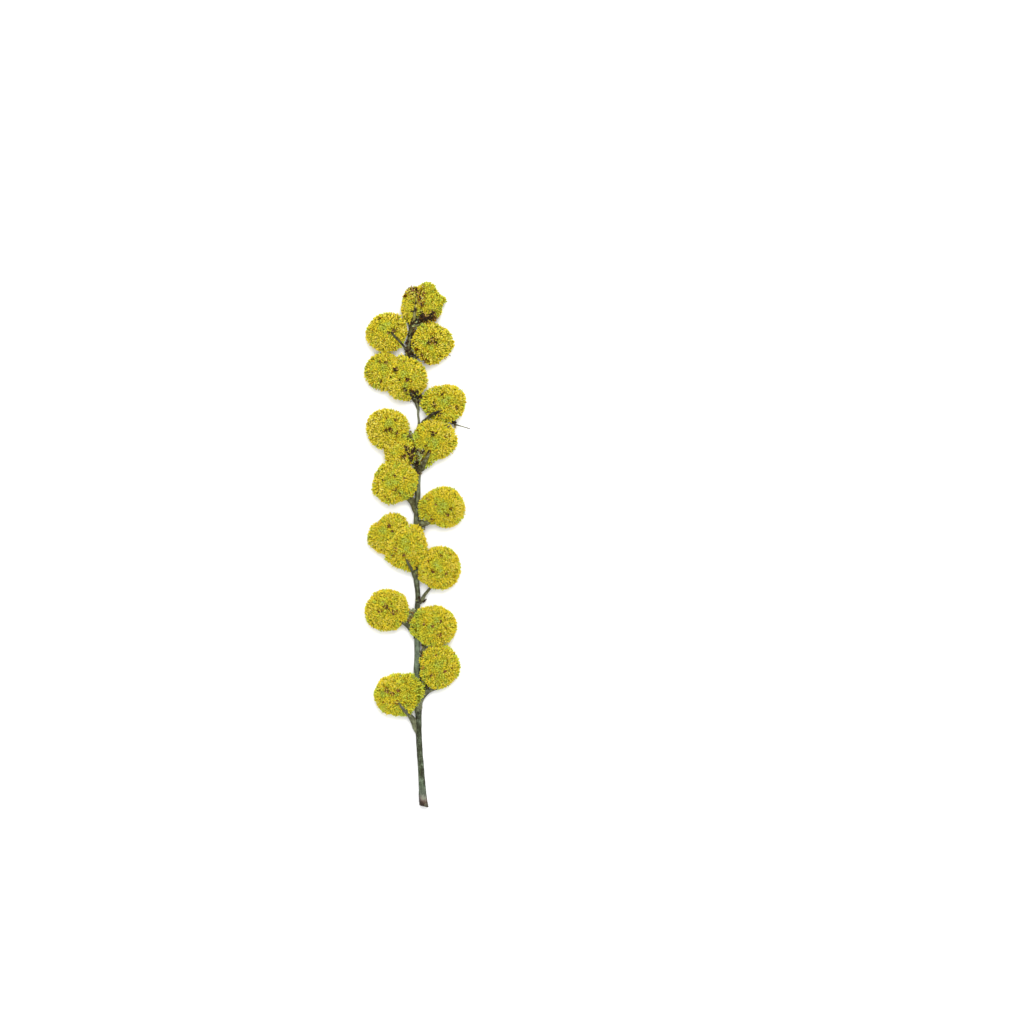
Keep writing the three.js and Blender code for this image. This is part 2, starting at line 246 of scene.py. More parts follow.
@dataclass
class Gathering:
    """Collects copies of templates and makes one mesh of them."""

    parts: list[tuple[np.ndarray, ...]] = field(default_factory=list)
    count: int = 0

    def add(self, template: Template, places: np.ndarray, dryness: np.ndarray, slot: int = 0) -> None:
        """Adds placed copies.

        Args:
            template: The shape.
            places: The points of every copy, in the plan.
            dryness: How dried up each copy is, from 0 to 1.
            slot: The material slot of its faces.
        """
        copies, per_copy, _ = places.shape
        first = self.count + np.arange(copies)[:, None] * per_copy
        slots = np.full(copies * len(template.sizes), slot)
        self.parts.append((places.reshape(-1, 3), (template.corners[None] + first).ravel(),
                           np.tile(template.sizes, copies), slots, np.repeat(dryness, per_copy)))
        self.count += copies * per_copy

    def mesh(self, name: str) -> bpy.types.Mesh:
        """Makes the mesh, with the point attribute dryness."""
        points, corners, sizes, slots, dryness = (np.concatenate(column) for column in zip(*self.parts))
        made = bpy.data.meshes.new(name)
        made.vertices.add(len(points))
        made.vertices.foreach_set("co", to_frame(points).astype(np.float32).ravel())
        made.loops.add(len(corners))
        made.loops.foreach_set("vertex_index", corners.astype(np.int32))
        made.polygons.add(len(sizes))
        made.polygons.foreach_set("loop_start", (np.cumsum(sizes) - sizes).astype(np.int32))
        made.polygons.foreach_set("material_index", slots.astype(np.int32))
        made.polygons.foreach_set("use_smooth", np.ones(len(sizes), bool))
        layer = made.attributes.new("dryness", "FLOAT", "POINT")
        layer.data.foreach_set("value", dryness.astype(np.float32))
        made.update(calc_edges=True)
        return made


def sweep(places: np.ndarray) -> bmesh.types.BMesh:
    """Draws a ring along a route, and closes both ends.

    Args:
        places: The points of the ring at every station, as stations by sides by 3, in the plan. The ring's
            first point lies underneath.

    Returns:
        The tube in the frame, with its map "Along": round it in U, along it in V, both in millimetres.
    """
    stations, sides, _ = places.shape
    at = to_frame(places)
    bm = bmesh.new()
    side_of = bm.verts.layers.int.new("side")
    station_of = bm.verts.layers.int.new("station")
    for i, vert in enumerate(bmesh.ops.create_circle(bm, segments=sides, radius=1.0)["verts"]):
        vert[side_of] = i
        vert.co = at[0, i]
    edges = list(bm.edges)
    for station in range(1, stations):
        grown = bmesh.ops.extrude_edge_only(bm, edges=edges)["geom"]
        edges = [part for part in grown if isinstance(part, bmesh.types.BMEdge)]
        for vert in (part for part in grown if isinstance(part, bmesh.types.BMVert)):
            vert[station_of] = station
            vert.co = at[station, vert[side_of]]
    bmesh.ops.holes_fill(bm, edges=bm.edges, sides=sides)
    bmesh.ops.recalc_face_normals(bm, faces=bm.faces)
    along = np.concatenate([[0.0], np.cumsum(np.linalg.norm(np.diff(places.mean(axis=1), axis=0), axis=1))])
    girth = np.linalg.norm(np.diff(places[stations // 3], axis=0), axis=1).sum() * sides / (sides - 1)
    uv = bm.loops.layers.uv.new("Along")
    for face in bm.faces:
        turns = [loop.vert[side_of] for loop in face.loops]
        wraps = len(turns) == 4 and max(turns) - min(turns) > sides / 2
        for loop, turn in zip(face.loops, turns):
            turn += sides if wraps and turn < sides / 2 else 0
            loop[uv].uv = (turn / sides * girth, along[loop.vert[station_of]])
    return bm


def twig(
    name: str, line: np.ndarray, frames: np.ndarray, across: np.ndarray, high: np.ndarray
) -> bpy.types.Object:
    """Makes a thin twig that lies on the floor where it would dip into it.

    Args:
        name: The piece's name.
        line: The points of its middle line.
        frames: The axes at each of them.
        across: How far each point of the ring stands out sideways, as stations by sides.
        high: How far it stands out upwards.

    Returns:
        The object.
    """
    local = np.stack([across, high, np.zeros_like(across)], 2)
    places = line[:, None, :3] + np.einsum("nij,nvj->nvi", frames, local)
    places[:, :, 2] = np.maximum(places[:, :, 2], FLOOR_GAP)
    return as_object(name, sweep(places))


def as_object(name: str, made: bmesh.types.BMesh | bpy.types.Mesh, smooth: bool = True) -> bpy.types.Object:
    """Links a finished mesh to the scene as an object at the origin.

    Args:
        name: The piece's name.
        made: The mesh, or the bmesh that it is made from and that is then freed.
        smooth: Whether its faces are shaded smooth.

    Returns:
        The object.
    """
    mesh = made
    if isinstance(made, bmesh.types.BMesh):
        mesh = bpy.data.meshes.new(name)
        made.to_mesh(mesh)
        made.free()
        mesh.polygons.foreach_set("use_smooth", np.full(len(mesh.polygons), smooth))
    piece = bpy.data.objects.new(name, mesh)
    bpy.context.scene.collection.objects.link(piece)
    return piece


def point_values(
    piece: bpy.types.Object, name: str, value: Callable[[np.ndarray], np.ndarray] | float
) -> None:
    """Gives a piece a point attribute.

    Args:
        piece: The piece.
        name: The attribute's name.
        value: The value everywhere, or what gives a value for each point, in metres in the frame.
    """
    mesh = piece.data
    co = np.empty(len(mesh.vertices) * 3, np.float32)
    mesh.vertices.foreach_get("co", co)
    points = co.reshape(-1, 3).astype(float)
    values = value(points) if callable(value) else np.full(len(points), value)
    mesh.attributes.new(name, "FLOAT", "POINT").data.foreach_set("value", values.astype(np.float32))


def settle(piece: bpy.types.Object, finishes: Sequence[bpy.types.Material], slot: str, *nodes: str) -> None:
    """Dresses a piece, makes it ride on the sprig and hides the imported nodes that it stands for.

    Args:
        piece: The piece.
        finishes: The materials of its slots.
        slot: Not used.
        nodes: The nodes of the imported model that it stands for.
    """
    for finish in finishes:
        piece.data.materials.append(finish)
    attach(piece, ROOT)
    if nodes:
        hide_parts(*nodes)
    log.info("%s: %d faces", piece.name, len(piece.data.polygons))


# ----------------------------------------------------------------------------------------------------------
# Finishes


def shade(red: int, green: int, blue: int) -> tuple[float, float, float, float]:
    """A display colour, 0 to 255, as the linear colour that a material takes."""
    parts = [c / 255 for c in (red, green, blue)]
    return (*(c / 12.92 if c <= 0.04045 else ((c + 0.055) / 1.055) ** 2.4 for c in parts), 1.0)


def ramp_of(*rows: Row) -> Ramp:
    """The stops of a colour ramp, from rows of a place and a display colour."""
    return tuple((place, shade(*colour)) for place, *colour in rows)


@dataclass
class Nodes:
    """Adds nodes to a material or a node group."""

    tree: bpy.types.NodeTree

    def add(self, kind: str, **settings: object) -> bpy.types.Node:
        """Adds a node.

        Args:
            kind: The node's type, without the words that every shader node's type starts with.
            settings: Properties of the node, and then its inputs: in_ and a number sets that input socket.

        Returns:
            The node.
        """
        node = self.tree.nodes.new(kind if kind.startswith("NodeGroup") else f"ShaderNode{kind}")
        for key, value in settings.items():
            if key.startswith("in_"):
                self.feed(node.inputs[int(key[3:])], value)
            else:
                setattr(node, key, value)
        return node

    def feed(self, socket: bpy.types.NodeSocket, value: object) -> None:
        """Links an output to a socket, or sets the socket to a constant."""
        if isinstance(value, bpy.types.NodeSocket):
            self.tree.links.new(value, socket)
        else:
            socket.default_value = value

    def maths(self, operation: str, *values: object, clamp: bool = False) -> bpy.types.NodeSocket:
        """The result of a Math node."""
        node = self.add("Math", operation=operation, use_clamp=clamp)
        for socket, value in zip(node.inputs, values):
            self.feed(socket, value)
        return node.outputs[0]

    def noise(self, place: object, scale: object, detail: float, **settings: object) -> bpy.types.NodeSocket:
        """The value of a Noise Texture node."""
        return self.add("TexNoise", in_0=place, in_2=scale, in_3=detail, **settings).outputs[0]

    def ranged(
        self, value: object, low: float, high: float, to_low: float, to_high: float
    ) -> bpy.types.NodeSocket:
        """A value mapped from low..high to to_low..to_high, and kept between them."""
        return self.add("MapRange", in_0=value, in_1=low, in_2=high, in_3=to_low, in_4=to_high).outputs[0]

    def ramp(self, value: object, stops: Ramp) -> bpy.types.NodeSocket:
        """The colour of a ramp at a value."""
        node = self.add("ValToRGB", in_0=value)
        elements = node.color_ramp.elements
        for _ in range(len(stops) - 2):
            elements.new(0.5)
        for element, (place, colour) in zip(elements, stops):
            element.position = place
            element.color = colour
        return node.outputs[0]

    def mixed(self, share: object, first: object, second: object, how: str = "MIX") -> bpy.types.NodeSocket:
        """Two colours mixed by share."""
        node = self.add("Mix", data_type="RGBA", blend_type=how, in_0=share, in_6=first, in_7=second)
        return node.outputs[2]


class SharedGroups:
    """The effects that several finishes use, each a node group that is built once."""

    def __init__(self) -> None:
        """Builds the groups."""
        self.mottle = self._mottle()
        self.fibres = self._fibres()

    @staticmethod
    def _started(name: str, place: str, *numbers: str) -> tuple[Nodes, list[bpy.types.NodeSocket]]:
        """Starts a group that reads a place and some numbers.

        Args:
            name: The group's name.
            place: The name of its vector input.
            numbers: The names of its other inputs.

        Returns:
            Its nodes, and what they read.
        """
        tree = bpy.data.node_groups.new(name, "ShaderNodeTree")
        tree.interface.new_socket(place, in_out="INPUT", socket_type="NodeSocketVector")
        for number in numbers:
            tree.interface.new_socket(number, in_out="INPUT", socket_type="NodeSocketFloat")
        nodes = Nodes(tree)
        return nodes, list(nodes.add("NodeGroupInput").outputs)

    @staticmethod
    def _ended(nodes: Nodes, **given: bpy.types.NodeSocket) -> bpy.types.NodeTree:
        """Ends a group with the numbers that it gives, and returns it."""
        for name in given:
            nodes.tree.interface.new_socket(name, in_out="OUTPUT", socket_type="NodeSocketFloat")
        for socket, value in zip(nodes.add("NodeGroupOutput").inputs, given.values()):
            nodes.feed(socket, value)
        return nodes.tree

    def _mottle(self) -> bpy.types.NodeTree:
        """Soft patches and fine grains, in plan with the piece."""
        nodes, inputs = self._started("Mottle", "Place", "Patch Scale", "Grain Scale", "Grain Share")
        place, patch_scale, grain_scale, share, *_ = inputs
        patches = nodes.ranged(nodes.noise(place, patch_scale, 4.0), 0.32, 0.68, 0.0, 1.0)
        grains = nodes.ranged(nodes.noise(place, grain_scale, 3.0), 0.35, 0.65, 0.0, 1.0)
        blend = nodes.add("Mix", data_type="FLOAT", in_0=share, in_2=patches, in_3=grains)
        return self._ended(nodes, Mask=blend.outputs[0], Height=grains)

    def _fibres(self) -> bpy.types.NodeTree:
        """Fine streaks that run along a twig, read from its map in millimetres."""
        nodes, (at, across, along, *_) = self._started("Fibres", "Map", "Across", "Along")
        scale = nodes.add("CombineXYZ", in_0=across, in_1=along, in_2=1.0).outputs[0]
        place = nodes.add("VectorMath", operation="MULTIPLY", in_0=at, in_1=scale).outputs[0]
        mask = nodes.ranged(nodes.noise(place, 1.0, 3.0, in_4=0.6), 0.3, 0.7, 0.0, 1.0)
        return self._ended(nodes, Mask=mask, Height=nodes.maths("POWER", mask, 1.6))


@dataclass
class Surface(Nodes):
    """The nodes of a material in the making."""

    material: bpy.types.Material

    def put(self, socket: str, value: object) -> None:
        """Feeds a socket of the shader."""
        self.feed(self.tree.nodes["Principled BSDF"].inputs[socket], value)

    def place(self) -> bpy.types.NodeSocket:
        """The place on the piece, in metres."""
        return self.add("TexCoord").outputs["Object"]

    def attribute(self, name: str) -> bpy.types.NodeSocket:
        """A point attribute of the piece."""
        return self.add("Attribute", attribute_name=name).outputs["Fac"]

    def group(
        self, tree: bpy.types.NodeTree, place: object, *values: float
    ) -> Sequence[bpy.types.NodeSocket]:
        """The mask and the height of a shared group."""
        inputs = {f"in_{number}": value for number, value in enumerate(values, 1)}
        return self.add("Group", node_tree=tree, in_0=place, **inputs).outputs

    def bump(self, height: bpy.types.NodeSocket, strength: float, depth: float) -> None:
        """Raises the surface, by at most a depth in metres."""
        node = self.add("Bump", in_0=strength, in_1=depth)
        self.feed(node.inputs["Height"], height)
        self.put("Normal", node.outputs[0])


@dataclass(frozen=True)
class Finish:
    """What every finish has in common."""

    name: str

    def start(self, roughness: float, gloss: float) -> Surface:
        """Starts its material with a plain roughness and gloss."""
        material = bpy.data.materials.new(self.name)
        material.use_nodes = True
        surface = Surface(material.node_tree, material)
        surface.put("Roughness", roughness)
        surface.put("Specular IOR Level", gloss)
        return surface


@dataclass(frozen=True)
class StamenFinish(Finish):
    """Threads and pollen-covered tips. U of the map is a stamen's tone, and V runs from root to tip."""

    # The palest stops colour the glints, a painted highlight.
    anther: Ramp = ramp_of(
        (0.0, 56, 36, 6), (0.1, 122, 74, 4), (0.2, 200, 140, 12), (0.3, 138, 140, 8),
        (0.42, 198, 220, 88), (0.56, 208, 212, 66), (0.68, 228, 209, 48), (0.76, 232, 203, 46),
        (0.84, 236, 222, 96), (1.0, 244, 236, 146),
    )
    thread: Ramp = ramp_of(
        (0.0, 70, 50, 6), (0.2, 150, 116, 16), (0.35, 140, 146, 30), (0.55, 198, 194, 56),
        (0.75, 220, 208, 58), (1.0, 246, 238, 130),
    )

    def build(self, groups: SharedGroups) -> bpy.types.Material:
        """Makes the material."""
        surface = self.start(0.7, 0.04)
        uv = surface.add("UVMap", uv_map=BAKE_MAP).outputs[0]
        tone, up, _ = surface.add("SeparateXYZ", in_0=uv).outputs
        # Painted shade: each thread darkens towards its root, deep inside the head.
        deep = surface.ranged(up, 0.0, 0.75, 0.5, 1.0)
        shadow = surface.add("CombineColor", in_0=deep, in_1=deep, in_2=deep).outputs[0]
        thread = surface.mixed(1.0, surface.ramp(tone, self.thread), shadow, "MULTIPLY")
        tip = surface.maths("GREATER_THAN", up, 0.82)
        surface.put("Base Color", surface.mixed(tip, thread, surface.ramp(tone, self.anther)))
        surface.put("Roughness", surface.ranged(tip, 0.0, 1.0, 0.5, 0.85))
        return surface.material


@dataclass(frozen=True)
class HeartFinish(Finish):
    """The floor of a flower head beneath its stamens: packed grains with dark gaps."""

    # The grains stand for anthers deeper in the head; the dark gaps between them are painted shade.
    gap: Row = shade(132, 118, 10)
    grain: Row = shade(222, 210, 60)
    worn: Row = shade(194, 202, 56)

    def build(self, groups: SharedGroups) -> bpy.types.Material:
        """Makes the material."""
        surface = self.start(0.85, 0.08)
        place = surface.place()
        cells = surface.add("TexVoronoi", in_0=place, in_2=4800.0).outputs[0]
        mottle = surface.group(groups.mottle, place, 900.0, 5000.0, 0.3)
        packed = surface.ranged(cells, 0.15, 0.62, 1.0, 0.0)
        colour = surface.mixed(packed, self.gap, self.grain)
        surface.put("Base Color", surface.mixed(surface.maths("MULTIPLY", mottle[0], 0.5), colour, self.worn))
        surface.bump(packed, 0.6, 0.00006)
        return surface.material


@dataclass(frozen=True)
class DriedFinish(Finish):
    """Small parts that are grey-green while fresh, and brown to black where they have dried up."""

    stops: Ramp
    mottle: tuple[float, float, float]  # the scales of its patches and grains, and the grains' share
    swing: tuple[float, float, float]  # the range of the mottle that tells, and how far it shifts the dryness
    roughness: tuple[float, ...]  # one number, or the lowest and the highest
    gloss: float
    relief: float

    def build(self, groups: SharedGroups) -> bpy.types.Material:
        """Makes the material."""
        surface = self.start(self.roughness[0], self.gloss)
        mottle = surface.group(groups.mottle, surface.place(), *self.mottle)
        low, high, shift = self.swing
        varied = surface.ranged(mottle[0], low, high, -shift, shift)
        dryness = surface.maths("ADD", surface.attribute("dryness"), varied, clamp=True)
        surface.put("Base Color", surface.ramp(dryness, self.stops))
        if len(self.roughness) > 1:
            surface.put("Roughness", surface.ranged(mottle[0], 0.0, 1.0, *self.roughness))
        surface.bump(mottle[1], self.relief, 0.00004)
        return surface.material


@dataclass(frozen=True)
class BarkFinish(Finish):
    """Dry bark: colours along the sprig, fine fibres, pale down on the ridges, dark aged places and painted
    shade.
    """

    along: Ramp
    pale: Row
    dark: Row = shade(28, 20, 12)
    patch_scale: float = 1100.0
    fibre_depth: float = 0.00005

    def build(self, groups: SharedGroups) -> bpy.types.Material:
        """Makes the material."""
        surface = self.start(0.8, 0.2)
        place = surface.place()
        height = surface.add("SeparateXYZ", in_0=place).outputs[1]
        base = surface.ramp(surface.ranged(height, -HALF_LENGTH, HALF_LENGTH, 0.0, 1.0), self.along)
        fibres = surface.group(groups.fibres, surface.add("UVMap", uv_map="Along").outputs[0], 3.2, 0.45)
        mottle = surface.group(groups.mottle, place, self.patch_scale, 6000.0, 0.4)
        streaked = surface.mixed(surface.ranged(fibres[0], 0.1, 0.8, 0.7, 0.0), base, self.dark)
        down = surface.maths("MULTIPLY", surface.ranged(mottle[0], 0.45, 0.85, 0.0, 0.9), fibres[0])
        downy = surface.mixed(down, streaked, self.pale)
        # The attribute darkens aged bark, and on the stem's sides it is painted shade.
        age = surface.attribute("age")
        spots = surface.maths("ADD", age, surface.ranged(mottle[0], 0.2, 0.45, 0.4, 0.0))
        swing = surface.ranged(mottle[0], 0.2, 0.8, 0.35, -0.35)
        aged_and_shaded = surface.maths("MULTIPLY_ADD", swing, age, spots, clamp=True)
        surface.put("Base Color", surface.mixed(aged_and_shaded, downy, self.dark))
        surface.put("Roughness", surface.ranged(fibres[0], 0.0, 1.0, 0.7, 0.9))
        surface.bump(surface.maths("MULTIPLY_ADD", mottle[1], 0.3, fibres[1]), 0.8, self.fibre_depth)
        return surface.material


@dataclass(frozen=True)
class FloorFinish(Finish):
    """A smooth pale surface with the faintest unevenness."""

    def build(self, groups: SharedGroups) -> bpy.types.Material:
        """Makes the material."""
        surface = self.start(0.9, 0.3)
        mottle = surface.group(groups.mottle, surface.place(), 12.0, 400.0, 0.3)
        surface.put("Base Color", surface.mixed(mottle[0], shade(246, 246, 245), shade(250, 250, 250)))
        return surface.material


@dataclass(frozen=True)
class Finishes:
    """The materials of the sprig."""

    stamen: bpy.types.Material
    heart: bpy.types.Material
    floret: bpy.types.Material
    stem: bpy.types.Material
    stalk: bpy.types.Material
    scale: bpy.types.Material
    floor: bpy.types.Material

    @classmethod
    def made(cls) -> "Finishes":
        """Builds every finish."""
        groups = SharedGroups()
        stem = ramp_of(
            (0.0, 88, 62, 46), (0.008, 108, 84, 70), (0.015, 132, 116, 110), (0.024, 108, 118, 102),
            (0.04, 90, 106, 82), (0.06, 60, 68, 43), (0.2, 55, 62, 40), (0.255, 88, 100, 74),
            (0.3, 120, 138, 116), (0.34, 86, 96, 70), (0.41, 76, 80, 54), (0.5, 92, 96, 68),
            (0.57, 112, 114, 80), (0.62, 98, 98, 64), (0.72, 98, 98, 66), (0.748, 140, 141, 116),
            (0.79, 94, 86, 50), (0.86, 112, 112, 64), (0.9, 126, 124, 70), (0.916, 90, 82, 36),
            (0.932, 160, 152, 80), (1.0, 172, 164, 80),
        )
        stalk = ramp_of(
            (0.0, 118, 122, 90), (0.15, 106, 110, 82), (0.5, 88, 88, 54), (0.7, 86, 78, 38),
            (1.0, 68, 62, 28),
        )
        floret = ramp_of(
            (0.0, 200, 212, 108), (0.3, 184, 180, 66), (0.45, 178, 142, 80), (0.62, 128, 84, 54),
            (0.82, 56, 38, 22), (1.0, 26, 22, 11),
        )
        scale = ramp_of(
            (0.0, 160, 172, 126), (0.25, 128, 132, 58), (0.5, 132, 98, 60), (0.75, 62, 42, 26),
            (1.0, 24, 18, 12),
        )
        finishes = (
            StamenFinish("stamens"),
            HeartFinish("flower_heart"),
            DriedFinish("florets", floret, mottle=(2500.0, 9000.0, 0.4), swing=(0.0, 1.0, 0.14),
                        roughness=(0.65,), gloss=0.1, relief=0.5),
            BarkFinish("stem_bark", stem, pale=shade(138, 154, 128)),
            BarkFinish("stalk_bark", stalk, pale=shade(142, 148, 116), patch_scale=2000.0,
                       fibre_depth=0.00003),
            DriedFinish("dried_scale", scale, mottle=(2600.0, 9000.0, 0.45), swing=(0.2, 0.8, 0.15),
                        roughness=(0.65, 0.9), gloss=0.15, relief=0.7),
            FloorFinish("pale_floor"),
        )
        return cls(*(finish.build(groups) for finish in finishes))


# ----------------------------------------------------------------------------------------------------------
# Stem, stalks and what grows at their joints


@dataclass(frozen=True)
class MainStem:
    """The stem, pressed a little flat, with low ridges along it and a slanted cut at its foot."""

    sides: int = 24
    stations: int = 300
    flatness: float = 0.74
    underside: float = 0.8
    tip_lift: float = 1.2
    lift_from: float = 80.0
    lift_to: float = 82.5
    ridges: int = 5
    ridge_depth: float = 0.07
    cut_slant: float = 0.4
    slimness: float = 0.96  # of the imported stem's width, whose ridges stand inside it
    # Points along the stem, each with the width there.
    route: tuple[tuple[float, float, float], ...] = (
        (0.95, 0.0, 1.56), (0.81, 1.2, 1.38), (0.7, 2.8, 1.2), (0.5, 6.1, 1.05), (0.25, 9.4, 1.0),
        (0.1, 12.8, 1.0), (0.1, 16.1, 1.05), (0.1, 18.5, 1.15), (-0.15, 22.4, 1.15), (-0.1, 25.3, 1.02),
        (-0.15, 28.0, 0.98), (-0.15, 30.3, 0.96), (-0.1, 33.0, 0.92), (-0.04, 35.6, 0.85),
        (-0.27, 37.6, 0.92), (-0.35, 39.8, 0.95), (-0.15, 43.6, 0.85), (-0.3, 46.5, 0.9),
        (-0.22, 49.5, 0.86), (-0.05, 52.0, 0.9), (0.03, 53.6, 0.74), (0.1, 55.6, 0.68), (-0.1, 58.2, 0.65),
        (-0.25, 60.6, 0.6), (0.0, 62.8, 0.52), (0.12, 64.2, 0.4), (-0.02, 65.4, 0.36), (0.0, 66.2, 0.46),
        (-0.14, 67.0, 0.74), (-0.4, 68.3, 1.0), (-0.95, 70.2, 0.6), (-1.4, 72.8, 0.52), (-1.6, 75.3, 0.75),
        (-1.42, 77.5, 0.85), (-1.12, 79.5, 0.95), (-0.65, 81.5, 0.62), (-0.4, 83.3, 0.42),
        (-0.2, 85.2, 0.2),
    )
    # Dark places: how far along the stem, half their length and how dark.
    blotches: tuple[tuple[float, float, float], ...] = (
        (0.1, 0.5, 0.75), (19.6, 0.7, 0.5), (34.0, 0.8, 0.35), (48.7, 0.8, 0.3), (56.4, 1.0, 0.65),
        (58.8, 0.9, 0.6), (69.2, 1.0, 0.6), (74.6, 1.2, 0.7), (75.6, 0.8, 0.6), (82.7, 0.25, 0.6),
        (84.1, 0.25, 0.8),
    )

    def half_height(self, width: np.ndarray | float) -> np.ndarray | float:
        """Half the height of the pressed stem where it has that width."""
        return width * self.flatness / (1 + self.underside)

    def middle_height(self, along: np.ndarray | float, width: np.ndarray | float) -> np.ndarray:
        """How high the stem's middle line runs."""
        lift = self.tip_lift * smoothstep(self.lift_from, self.lift_to, along)
        return lift + self.half_height(width) * self.underside

    def middle_line(self, steps: int) -> np.ndarray:
        """Points along the middle line, each with the stem's width there."""
        plan = smooth_route(self.route, steps)
        return np.column_stack([plan[:, :2], self.middle_height(plan[:, 1], plan[:, 2]), plan[:, 2]])

    def height_at(self, along: float) -> float:
        """The height of the middle line at a place along the stem."""
        _, y, width = np.array(self.route).T
        return float(self.middle_height(along, np.interp(along, y, width)))

    def age(self, points: np.ndarray, line: np.ndarray) -> np.ndarray:
        """How dark the bark is: painted shade on its sides, now more on the left and now on the right, and
        blotches.

        Args:
            points: Points of the stem, in metres in the frame.
            line: Its middle line, with its width.

        Returns:
            A number from 0 to 1 for each point.
        """
        across, along = (points[:, :2] * 1000 + PLAN_ORIGIN[:2]).T
        aside = across - np.interp(along, line[:, 1], line[:, 0])
        aside /= np.interp(along, line[:, 1], line[:, 3]) / 2 * self.slimness
        darker_left = np.cos((along - 13) / 7 * math.pi)
        # Painted shade along the stem's sides, heavier on one side than the other.
        total = (0.35 - 0.25 * darker_left * np.sign(aside)) * smoothstep(0.1, 0.9, np.abs(aside))
        for middle, half, depth in self.blotches:
            total = np.maximum(total, depth * np.exp(-(((along - middle) / half) ** 2)))
        return total

    def build(self, finish: bpy.types.Material) -> None:
        """Makes the stem."""
        line = self.middle_line(self.stations)
        ahead = np.gradient(line[:, :2], axis=0)
        ahead /= np.linalg.norm(ahead, axis=1, keepdims=True)
        side = np.column_stack([ahead[:, 1], -ahead[:, 0], np.zeros(len(ahead))])
        turn = ring_of(self.sides)
        rough = knobbly(turn, line[:, 1] * 1.4, 1.3)
        swell = 1 + self.ridge_depth * np.cos(self.ridges * turn[None] + 0.05 * line[:, 1:2])
        swell *= 1 + 0.07 * rough
        wide = line[:, 3:4] / 2 * self.slimness * swell * np.sin(turn)[None]
        places = line[:, None, :3] + side[:, None] * wide[:, :, None]
        places[:, :, 2] += self.half_height(line[:, 3:4]) * swell * -np.cos(turn)[None]
        places[:, :, 2] = np.maximum(places[:, :, 2], 0.0)
        foot = 1 - smoothstep(0.0, 1.2, line[:, 1:2])
        places[:, :, 1] += foot * (0.1 * rough - self.cut_slant * wide)
        bm = sweep(places)
        cut = min((f for f in bm.faces if len(f.verts) > 4), key=lambda f: f.calc_center_median().y)
        for depth in (0.0, -CUT_DEPTH):
            bmesh.ops.inset_region(bm, faces=[cut], thickness=CUT_RIM, depth=depth)
        stem = as_object("stem", bm)
        point_values(stem, "age", lambda points: self.age(points, line))
        settle(stem, [finish], "stem", "main_stem")


